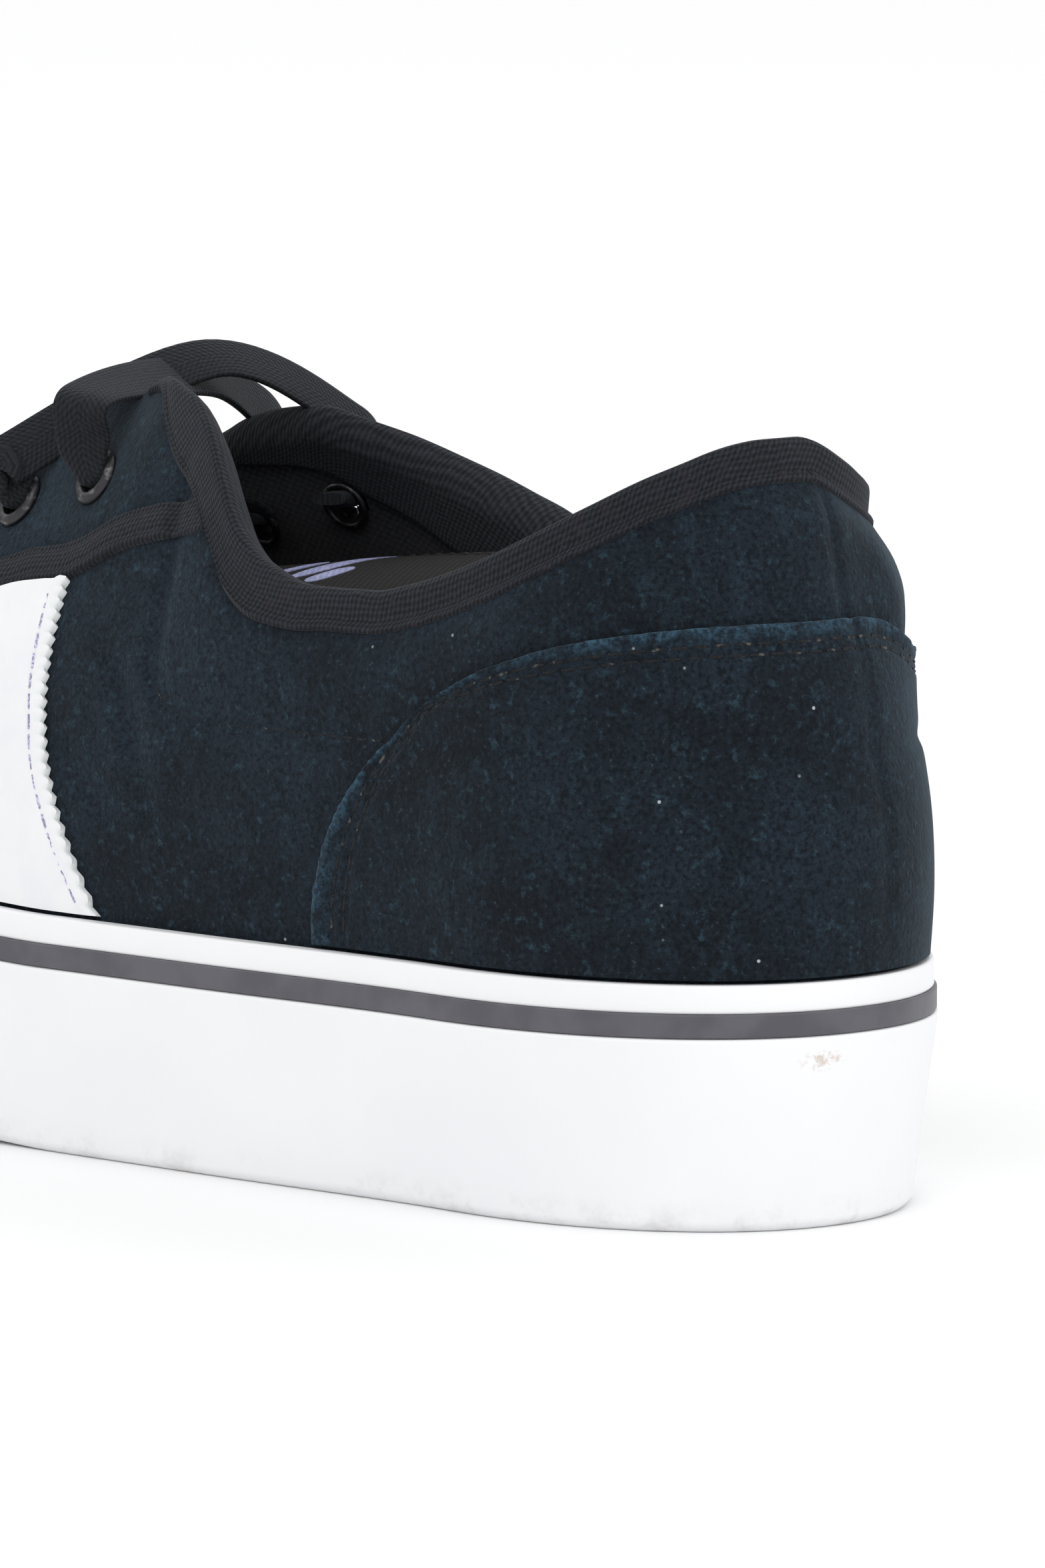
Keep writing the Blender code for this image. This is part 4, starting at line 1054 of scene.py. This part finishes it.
def make_panel(side):
    name = SIDE_NAMES[side]
    rows, steps = 190, 30

    def at(i, j):
        from_rear, share = (i / steps) ** 1.5, j / rows
        tooth = abs((share * PANEL_TALL / TOOTH_PITCH) % 1 - 0.5) * 2
        st, angle = panel_spot(from_rear, share, side)
        from_edge = from_rear * panel_width(share)
        shift = TOOTH_DEPTH * (tooth ** 0.8 - 0.5) * max(0.0, 1 - from_edge / (1.6 * MM))
        st = station(st.along - shift, side)
        thick = PANEL_THICKNESS * (0.55 + 0.45 * min(1.0, from_edge / (0.7 * MM)))
        thick -= 0.25 * MM * hump(from_edge - PANEL_STITCH, 0.7 * MM)
        thick += 0.15 * MM * noise.noise(Vector((st.along * 160, share * 6, side)))
        # Painted shade: greyer along the pinked edge, deepest in the notches between the teeth.
        shade = hump(from_edge, 1.2 * MM) * 0.5 * (1.3 - tooth)
        return suede_point(st, angle, FIT + thick), st.point(angle, -FIT * 0.5), shade

    outer, inner, edge = gridded(steps, rows, at)
    panel = shell("side_panel_%s_leather" % name, outer, inner, [MATS["leather"]], edge=edge)
    dress(panel, "white_leather", "side_panel_" + name)
    routes = []
    for inset, last in ((PANEL_STITCH, 0.985), (PANEL_STITCH + PANEL_STITCH_APART, 0.97)):
        shares = [0.02 + (last - 0.02) * j / 80 for j in range(81)]
        routes.append(route_on([(*panel_spot(min(0.95, inset / panel_width(share)), share, side),
                                 FIT + PANEL_THICKNESS - 0.22 * MM) for share in shares], 0.1 * MM))
    stitches("panel_stitches_" + name, routes, "pale_thread", "white_leather")


def make_tape(side):
    name = SIDE_NAMES[side]
    steps, rows = 150, 14
    start = COLLAR_FRONT - TAPE_START[side]

    def at(i, j):
        along = start + (TAPE_FRONT - start) * i / steps
        st = station(along, side)
        low, high = tape_angles(st)
        angle, across = low + (high - low) * j / rows, TAPE_WIDTH * j / rows
        from_edge = min(across, TAPE_WIDTH - across)
        thick = TAPE_THICKNESS * (0.35 + 0.65 * math.sqrt(min(1.0, from_edge / (0.6 * MM))))
        thick -= 0.22 * MM * hump(from_edge - TAPE_STITCH, 0.45 * MM)
        thick *= 0.3 + 0.7 * smooth(along, start + 3 * MM, start + 9 * MM)
        return suede_point(st, angle, FIT + thick), st.point(angle, -FIT * 0.4), (along * 1000, across * 1000)

    outer, inner, uv = gridded(steps, rows, at)
    tape = shell("eyestay_tape_%s_knit" % name, outer, inner, [MATS["tape"]], uv=uv)
    dress(tape, "black_tape", "eyestay_tape_" + name)
    routes = []
    for from_low in (TAPE_STITCH, TAPE_WIDTH - TAPE_STITCH):
        spots = []
        for i in range(121):
            st = station(start + 3 * MM + (TAPE_FRONT - start - 4 * MM) * i / 120, side)
            low, high = tape_angles(st)
            spots.append((st, low + (high - low) * from_low / TAPE_WIDTH, 0.0))
        routes.append(route_on(spots, FIT + TAPE_THICKNESS - 0.15 * MM))
    stitches("tape_stitches_" + name, routes, "black_thread", "black_tape", radius=0.3 * MM)


def make_pad_seam():
    """The stitched line along the lower and front edge of the collar's padding, on both sides."""
    routes = []
    for side in (1, -1):
        spots = []
        for i in range(101):
            st = station(50 * MM + (PAD_SEAM_FRONT - 51 * MM) * (1 - (1 - i / 100) ** 2), side)
            back = (PAD_SEAM_FRONT - st.along) / PAD_SOFTNESS
            height = PAD_SEAM_HEIGHT - PAD_SOFTNESS * math.log(1 - math.exp(-back))
            spots.append((st, st.at_height(height), 0.0))
        routes.append(route_on(spots, 0.1 * MM))
    stitches("padding_stitches", routes, "navy_thread", "navy_suede", length=1.8 * MM, radius=0.3 * MM)


# Collar binding

def binding_width(st):
    if st.side > 0:
        front = smooth(st.along, 0.68 * COLLAR_FRONT, 0.88 * COLLAR_FRONT)
        end = 0.15 + 0.85 * smooth(BINDING_END - st.along, 4 * MM, 18 * MM)
    else:
        front = smooth(st.along, 0.80 * COLLAR_FRONT, COLLAR_FRONT)
        front *= 1 - smooth(st.along, CORNER, 130 * MM)
        end = 0.3 + 0.7 * smooth(BINDING_END_INNER - st.along, 0, 14 * MM)
    return (BINDING_WIDTH + (BINDING_FRONT_WIDTH - BINDING_WIDTH) * front) * end


def binding_section(st):
    """Folded knit tape over the rim: welt, stitch trough, puffy roll over the rim and an inner leg."""
    legs, crown_steps = 12, 9
    end = BINDING_END if st.side > 0 else BINDING_END_INNER
    puff = 0.55 + 0.45 * smooth(end - st.along, -1 * MM, 5.5 * MM)
    front = smooth(st.along, 55 * MM, 90 * MM)
    base, welt = (0.15 + 0.30 * front) * MM, (0.40 + 0.50 * front) * MM
    width, rim = binding_width(st), st.rim
    low, wall = st.below(rim, width), st.wall(rim)
    outside, inside, lengths, back = [], [], [], []
    for j in range(legs + 1):
        angle, up = low + (rim - low) * j / legs, width * j / legs
        full = min(1.0, up / (0.7 * MM))
        lift = base + welt * math.sqrt(full * (2 - full)) - 0.25 * MM * hump(up - BINDING_STITCH, 0.55 * MM)
        lift += (BINDING_CROWN - welt) * smooth(up, BINDING_STITCH, max(width, 2 * BINDING_STITCH))
        outside.append(Vector(suede_point(st, angle, lift * puff)))
        lengths.append(up)
        lift = 0.3 * MM + 1.1 * MM * math.sqrt(min(1.0, up / (0.9 * MM)))
        inside.append(Vector(st.point(angle, st.wall(angle) + lift * puff)))
        back.append(width * 2 + wall * 1.4 - up)
    centre, half = (outside[-1] + inside[-1]) / 2, (outside[-1] - inside[-1]) / 2
    rise = (Vector(st.point(rim)) - Vector(st.point(rim - 0.03))).normalized() * (1.9 * MM * puff)
    turns = [math.pi * k / crown_steps for k in range(1, crown_steps)]
    crown = [centre + half * math.cos(turn) + rise * math.sin(turn) for turn in turns]
    lengths += [width + wall * 1.4 * turn / math.pi for turn in turns] + back[::-1]
    hidden = [Vector(st.point(low + (rim - low) * share, depth)) for share, depth in
              ((0.05, st.wall(low) * 0.8), (0.5, wall * 0.6), (0.05, st.wall(low) * 0.3))]
    skin = outside + crown + inside[::-1] + hidden
    return [tuple(p) for p in skin], lengths + [lengths[-1] + 1 * MM] * len(hidden), outside[-1]


def make_binding():
    steps = 190
    shares = [1 - math.cos(math.pi / 2 * i / steps) for i in range(steps + 1)]
    order = ([station(BINDING_END_INNER * share, -1) for share in shares[:0:-1]]
             + [station(BINDING_END * share, 1) for share in shares])
    sections, uv, route, walked, last = [], [], [], 0.0, None
    for st in order:
        section, across, spot = binding_section(st)
        walked += (spot - last).length * 1000 if last else 0.0
        last = spot
        sections.append(section)
        uv.append([(walked, a * 1000) for a in across])
        if binding_width(st) >= 2 * BINDING_STITCH:
            angle = st.below(st.rim, binding_width(st) - BINDING_STITCH)
            out = normal_at(st.along, st.side, angle) if st.along > 0.5 * MM else Vector((-1, 0, 0))
            shown = (0.35 + 0.75 * smooth(st.along, 55 * MM, 90 * MM)) * MM
            route.append((Vector(suede_point(st, angle)) + out * shown, out))
    binding = tube("collar_binding_knit", sections, [MATS["tape"]], uv=uv, angle=70)
    dress(binding, "black_tape", "collar_binding")
    stitches("binding_stitches", [route], "black_thread", "black_tape")


# Tongue

def tongue_place(share, across):
    """Point of the tongue's face at a share of its length from the front and across from -1 to 1."""
    along = TONGUE_FRONT + (TONGUE_BACK - TONGUE_FRONT) * share
    under_vamp = read_table(CREST, "height", along / LENGTH) * INSTEP_HEIGHT - WALL - TONGUE_FIT
    top = min(read_table(TONGUE, "height", share) * INSTEP_HEIGHT, under_vamp)
    half = read_table(TONGUE, "width", share) * TONGUE_HALF_WIDTH
    droop = read_table(TONGUE, "droop", share) * half
    turned = smooth(share, 0.30, 0.60) * (TONGUE_LIFT - TONGUE_TILT * across)
    return (along, crest_side(along) + half * across, top - droop * across * across + turned), half


def ripple(x, y):
    return 0.25 * MM * noise.noise(Vector((x * 45, y * 70, 3.1)))


def make_tongue():
    rows, columns = 110, 40

    def at(i, j):
        share, across = math.sin(math.pi / 2 * i / rows), -1 + 2 * j / columns
        (x, y, z), half = tongue_place(share, across)
        from_edge = min((1 - abs(across)) * half, (1 - share) * (TONGUE_FRONT - TONGUE_BACK) + 0.2 * MM)
        roll = 1 - math.sqrt(1 - (1 - min(1.0, from_edge / (2.6 * MM))) ** 2)
        sewn = 0.35 * MM * hump(from_edge - TONGUE_STITCH, 1.0 * MM)
        top = z - 1.5 * MM * roll - sewn + ripple(x, y) * (1 - roll)
        centre = tongue_place(share, 0)[0][1]
        return (x, y, top), (x, centre + (y - centre) * 0.985, z - TONGUE_THICKNESS + 1.2 * MM * roll)

    outer, inner = gridded(rows, columns, at)
    dress(shell("tongue_twill", outer, inner, [MATS["twill"]], angle=70), "brown_black_twill", "tongue")
    routes = []
    for side in (-1, 1):
        route = []
        for i in range(90):
            share = 0.25 + 0.70 * i / 89
            half = tongue_place(share, side)[1]
            x, y, z = tongue_place(share, side * (1 - TONGUE_STITCH / half))[0]
            route.append((Vector((x, y, z - 0.2 * MM)), Vector((0, 0, 1))))
        routes.append(route)
    stitches("tongue_stitches", routes, "black_thread", "brown_black_twill")


# Plain printed dashes on the tongue: length share from the front, place across, length, width, turn
Mark = namedtuple("Mark", "share across length width turn")
MARKS = [
    Mark(0.684, -0.30, 11 * MM, 2.4 * MM, 84),
    Mark(0.724, -0.42, 21 * MM, 4.2 * MM, 84),
    Mark(0.768, -0.10, 9 * MM, 3.6 * MM, 84),
]


def make_marks():
    points, faces = [], []
    steps = 16
    for mark in MARKS:
        cos, sin = math.cos(math.radians(mark.turn)), math.sin(math.radians(mark.turn))
        half_tongue = tongue_place(mark.share, 0)[1]
        base = len(points)
        for i in range(steps + 1):
            t = -1 + 2 * i / steps
            length, half = mark.length / 2 * t, mark.width / 2 * math.sqrt(max(0.02, 1 - abs(t) ** 3))
            for edge in (-half, half):
                share = mark.share + (length * cos - edge * sin) / (TONGUE_FRONT - TONGUE_BACK)
                x, y, z = tongue_place(share, mark.across + (length * sin + edge * cos) / half_tongue)[0]
                points += [(x, y, z + ripple(x, y) + up) for up in (0.12 * MM, -0.15 * MM)]
        for a in range(base, base + 4 * steps, 4):
            faces += [(a + p, a + q, a + q + 4, a + p + 4) for p, q in ((0, 1), (1, 3), (3, 2), (2, 0))]
        last = base + 4 * steps
        faces += [(base, base + 2, base + 3, base + 1), (last, last + 1, last + 3, last + 2)]
    dress(finished("tongue_print", points, faces, [MATS["print"]]), "brown_black_twill")


# Eyelets and lace

def make_eyelets():
    half, foot = (EYELET_RADIUS - EYELET_HOLE) / 2, 0.25 * MM
    turns = [math.pi * (0.08 + 0.92 * k / 12) for k in range(13)]
    profile = [(EYELET_HOLE + half * (1 - math.cos(turn)), foot + (EYELET_RISE - foot) * math.sin(turn))
               for turn in turns]
    profile += [(EYELET_RADIUS - 0.1 * MM, 0.0), (EYELET_BARREL, 0.0), (EYELET_BARREL, -EYELET_FOOT)]
    turns = [math.pi * k / 6 for k in range(7)]
    profile += [(EYELET_BARREL + 0.5 * MM * (1 + math.cos(turn)), -EYELET_FOOT - 0.45 * MM * math.sin(turn))
                for turn in turns]
    profile += [(EYELET_HOLE, 0.2 * MM - EYELET_FOOT)]
    steps = 40
    for index, (centre, out, across) in enumerate(eyelet_places()):
        node = "eyelet_%s_%d" % (SIDE_NAMES[1 - 2 * (index % 2)], index // 2 + 1)
        side = out.cross(across).normalized()
        sections = []
        for i in range(steps):
            turn = 2 * math.pi * i / steps
            way = across * math.cos(turn) + side * math.sin(turn)
            sections.append([tuple(centre + way * r + out * z) for r, z in profile])
        dress(tube(node + "_metal", sections, [MATS["metal"]], closed=True, angle=60), "dark_metal", node)


Knot = namedtuple("Knot", "point facing width thick")


def half_strand(eyelet, rise, lean):
    """Knots out of an eyelet and over towards the throat; a negative lean turns the face to the heel."""
    centre, out, across = eyelet
    up = Vector((0, 0, 1))
    facing = (out + Vector((lean, 0, 0))).normalized()
    return [
        Knot(centre - out * 5 * MM + across * 2.5 * MM, -across, 0.70, 1.2),
        Knot(centre - out * 1.2 * MM + across * 0.6 * MM, -across, 0.54, 1.9),
        Knot(centre + out * 1.2 * MM + across * 0.4 * MM, (facing - across).normalized(), 0.66, 1.6),
        Knot(centre + out * (1.8 * MM + 0.10 * rise) + up * (1.8 * MM + 0.40 * rise), facing, 0.98, 1.1),
        Knot(centre + out * 1.8 * MM + up * (2.2 * MM + rise) + across * 0.20 * rise, facing, 1.0, 1.0),
    ]


def strand_sections(knots, steps=16):
    """Sections of a flat woven strand along a smooth curve through its knots."""
    route = []
    for i in range(len(knots) - 1):
        a, b = knots[i], knots[i + 1]
        before, after = knots[max(i - 1, 0)], knots[min(i + 2, len(knots) - 1)]
        for step in range(steps):
            t = step / steps
            spot = 0.5 * (2 * a.point + (b.point - before.point) * t
                          + (2 * before.point - 5 * a.point + 4 * b.point - after.point) * t**2
                          + (3 * a.point - before.point - 3 * b.point + after.point) * t**3)
            soft = t * t * (3 - 2 * t)
            route.append((spot, (a.facing * (1 - soft) + b.facing * soft).normalized(),
                          a.width + (b.width - a.width) * soft, a.thick + (b.thick - a.thick) * soft))
    last = knots[-1]
    route.append((last.point, last.facing, last.width, last.thick))
    sections, uv, walked = [], [], 0.0
    for i, (spot, facing, width, thick) in enumerate(route):
        before, after = route[max(i - 1, 0)][0], route[min(i + 1, len(route) - 1)][0]
        tangent = (after - before).normalized()
        wide = facing.cross(tangent).normalized()
        face = tangent.cross(wide)
        walked += (spot - before).length * 1000
        section, lengths = [], []
        for k in range(20):
            turn = 2 * math.pi * k / 20
            c, s = math.cos(turn), math.sin(turn)
            w = math.copysign(abs(c) ** 0.55, c) * LACE_WIDTH / 2 * width
            h = math.copysign(abs(s) ** 0.8, s) * LACE_THICKNESS / 2 * thick
            cup = 0.28 * MM * (abs(c) ** 4 - 0.4) * width
            section.append(tuple(spot + wide * w + face * (h + cup)))
            lengths.append((walked, w * 1000))
        sections.append(section)
        uv.append(lengths)
    return sections, uv


def make_strand(name, first, second, rise, peak, turned, node):
    """A strand from one eyelet over the throat to another, its face turned to the heel by a share."""
    start, end = (half_strand(eyelet, high, -lean * turned)
                  for eyelet, high, lean in zip((first, second), rise, LACE_LEANS))
    mid = start[-1].point.lerp(end[-1].point, 0.58)
    mid.z = peak
    facing = ((first[1] + second[1]).normalized() + Vector((-turned, 0, 0))).normalized()
    sections, uv = strand_sections(start + [Knot(mid, facing, 1.0, 1.0)] + end[::-1])
    dress(tube(name, sections, [MATS["lace"]], uv=uv, angle=80), "black_cord", node)


def make_under(name, first, second, drop):
    """A hidden run of lace under the eyestays, from one row's eyelet to the next row's."""
    knots = [[Knot(centre - out * 1.6 * MM, -across, 0.55, 1.7),
              Knot(centre - out * 4.2 * MM + across * 3.0 * MM, -out, 0.85, 1.1)]
             for centre, out, across in (first, second)]
    mid = (knots[0][1].point + knots[1][1].point) / 2
    mid.z -= drop
    run = knots[0] + [Knot(mid, Vector((0, 0, -1)), 1.0, 1.0)] + knots[1][::-1]
    sections, uv = strand_sections(run)
    dress(tube(name, sections, [MATS["lace"]], uv=uv, angle=80), "black_cord")


def make_lace():
    places = eyelet_places()
    loops = ((0, LACE_ARCH, LACE_RISES, 1.9 * MM, 1.0),
             (2, LACE_ARCH_LOWER, LACE_RISES_LOWER, 1.3 * MM, LACE_TURN_LOWER))
    for number, (row, arch, rises, under, turned) in enumerate(loops, 1):
        top_out, top_in, low_out, low_in = places[2 * row:2 * row + 4]
        peak = top_out[0].z + EYELET_RISE + arch
        node = "lace_crossing_%d" % number
        make_strand("lace_under_%d" % number, top_out, low_in, rises[0], peak - under, turned, node)
        make_strand("lace_over_%d" % number, low_out, top_in, rises[1], peak + 0.9 * MM, turned, node)
    peak = places[-2][0].z + EYELET_RISE + LACE_ARCH_LOWER / 2
    rises = (1.0 * MM, 1.0 * MM)
    make_strand("lace_bar_woven", places[-2], places[-1], rises, peak, LACE_TURN_LOWER, "lace_bar")
    for number, row in enumerate((1, 3), 1):
        out_high, in_high, out_low, in_low = places[2 * row:2 * row + 4]
        make_under("lace_hidden_outer_%d" % number, out_high, in_low, 0.6 * MM)
        make_under("lace_hidden_inner_%d" % number, in_high, out_low, 2.6 * MM)


# Sole

def rounded(corners, radius, steps=4):
    """Profile with its corners rounded, as (offset, height) pairs."""
    made = []
    count = len(corners)
    for i, corner in enumerate(corners):
        here = Vector(corner)
        before, after = Vector(corners[i - 1]), Vector(corners[(i + 1) % count])
        r0 = min(radius, 0.45 * (before - here).length)
        r1 = min(radius, 0.45 * (after - here).length)
        start = here + (before - here).normalized() * r0
        end = here + (after - here).normalized() * r1
        for k in range(steps + 1):
            t = k / steps
            made.append(tuple(start * (1 - t) ** 2 + here * 2 * t * (1 - t) + end * t * t))
    return made


def make_band(name, ring, corners, radius, finish, slot, node):
    """Closed ring round the shoe through a profile of (offset, height) corners."""
    profile = rounded(corners, radius)
    sections = [[(*st.out_at(offset), level(st.along, height)) for offset, height in profile] for st in ring]
    dress(tube(name, sections, [MATS[finish]], closed=True, angle=35), slot, node)


def make_bands():
    low, high = BAND_HEIGHT, BAND_HEIGHT + STRIPE_HEIGHT
    top = high + TOP_BAND_HEIGHT
    ring = ring_of(close_lengths(BAND_STEPS))
    make_band("side_band_rubber", ring, [
        (-BAND_TAPER - FLOOR_BEVEL, 0), (-BAND_TAPER * 0.93, FLOOR_BEVEL * 1.4),
        (-BAND_TAPER * 0.5, low * 0.5), (0, low - 0.2 * MM), (-STRIPE_DEPTH, low),
        (-STRIPE_DEPTH, high), (-TOP_BAND_STEP, high), (-TOP_BAND_STEP - 0.1 * MM, top),
        (-BAND_WALL, top), (-BAND_WALL, TUCK_HEIGHT), (-BAND_WALL - TUCK, 0),
    ], 0.45 * MM, "rubber", "white_rubber", "side_band")
    make_band("side_stripe_rubber", ring, [
        (-STRIPE_DEPTH - 0.1 * MM, low - 0.1 * MM), (-0.25 * MM, low + 0.05 * MM),
        (-0.25 * MM, high - 0.05 * MM), (-STRIPE_DEPTH - 0.1 * MM, high + 0.1 * MM),
    ], 0.25 * MM, "line", "dark_rubber", "side_stripe")


def refinish():
    """Better materials for the CAD nodes that stay in view."""
    for node, finish in (("outsole", "tread"), ("insole", "twill")):
        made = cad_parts[node]
        made.data.materials.clear()
        made.data.materials.append(MATS[finish])


# Camera, floor and light

CAMERA_YAW = 46.0            # degrees between the view and the shoe's cross direction
CAMERA_RISE = 9.3
CAMERA_AWAY = 1428 * MM      # from the floor point under the back of the heel
CAMERA_REACH = 16665         # focal length in the photo's pixels
PHOTO_WIDTH, PHOTO_HEIGHT = 1568, 2352
HEEL_PIXEL = (1305, 1840)    # where the photo has that floor point
SENSOR = 36.0


def make_camera():
    yaw, rise = math.radians(CAMERA_YAW), math.radians(CAMERA_RISE)
    forward = Vector((math.sin(yaw) * math.cos(rise), -math.cos(yaw) * math.cos(rise), -math.sin(rise)))
    right = forward.cross(Vector((0, 0, 1))).normalized()
    up = right.cross(forward)
    heel = place(0, 0, 0)
    aim = (forward * CAMERA_REACH + right * (PHOTO_WIDTH / 2 - HEEL_PIXEL[0])
           + up * (HEEL_PIXEL[1] - PHOTO_HEIGHT / 2))
    data = bpy.data.cameras.new("camera")
    data.lens = CAMERA_REACH * SENSOR / PHOTO_HEIGHT
    data.sensor_width = SENSOR
    data.clip_end = 20
    camera = bpy.data.objects.new("camera", data)
    camera.location = heel - forward * CAMERA_AWAY
    camera.rotation_euler = aim.to_track_quat("-Z", "Y").to_euler()
    bpy.context.scene.collection.objects.link(camera)
    bpy.context.scene.camera = camera


FLOOR_SIZE = 14
ROOM_LIGHT = 0.86
Lamp = namedtuple("Lamp", "name spot target size power")
LAMPS = [
    Lamp("overhead", (1.0, -1.0, 4.5), (1.0, -1.0, 0), 8, 75),
    Lamp("key", (-0.9, 1.2, 1.5), (-0.08, 0, 0.05), 1.1, 5),
    Lamp("fill", (-1.6, -0.3, 1.1), (-0.08, 0, 0.05), 0.9, 3.2),
]


def make_stage():
    bpy.ops.mesh.primitive_plane_add(size=FLOOR_SIZE)
    floor = bpy.context.object
    floor.name = "floor"
    net = Net("floor_white", (0.93, 0.93, 0.932), 0.9, Specular_IOR_Level=0.1)
    floor.data.materials.append(net.made)
    world = bpy.data.worlds.new("studio")
    world.use_nodes = True
    sky = world.node_tree.nodes["Background"].inputs
    sky["Color"].default_value, sky["Strength"].default_value = (1.0, 1.0, 1.0, 1), ROOM_LIGHT
    bpy.context.scene.world = world
    for lamp in LAMPS:
        data = bpy.data.lights.new(lamp.name, "AREA")
        data.shape, data.size, data.energy = "DISK", lamp.size, lamp.power
        made = bpy.data.objects.new(lamp.name, data)
        made.location = lamp.spot
        made.rotation_euler = (Vector(lamp.target) - Vector(lamp.spot)).to_track_quat("-Z", "Y").to_euler()
        bpy.context.scene.collection.objects.link(made)
    bpy.context.scene.view_settings.view_transform = "Standard"


make_upper()
make_counter()
for shoe_side in (1, -1):
    make_panel(shoe_side)
    make_tape(shoe_side)
make_pad_seam()
make_binding()
make_tongue()
make_marks()
make_eyelets()
make_lace()
make_bands()
refinish()
make_camera()
make_stage()
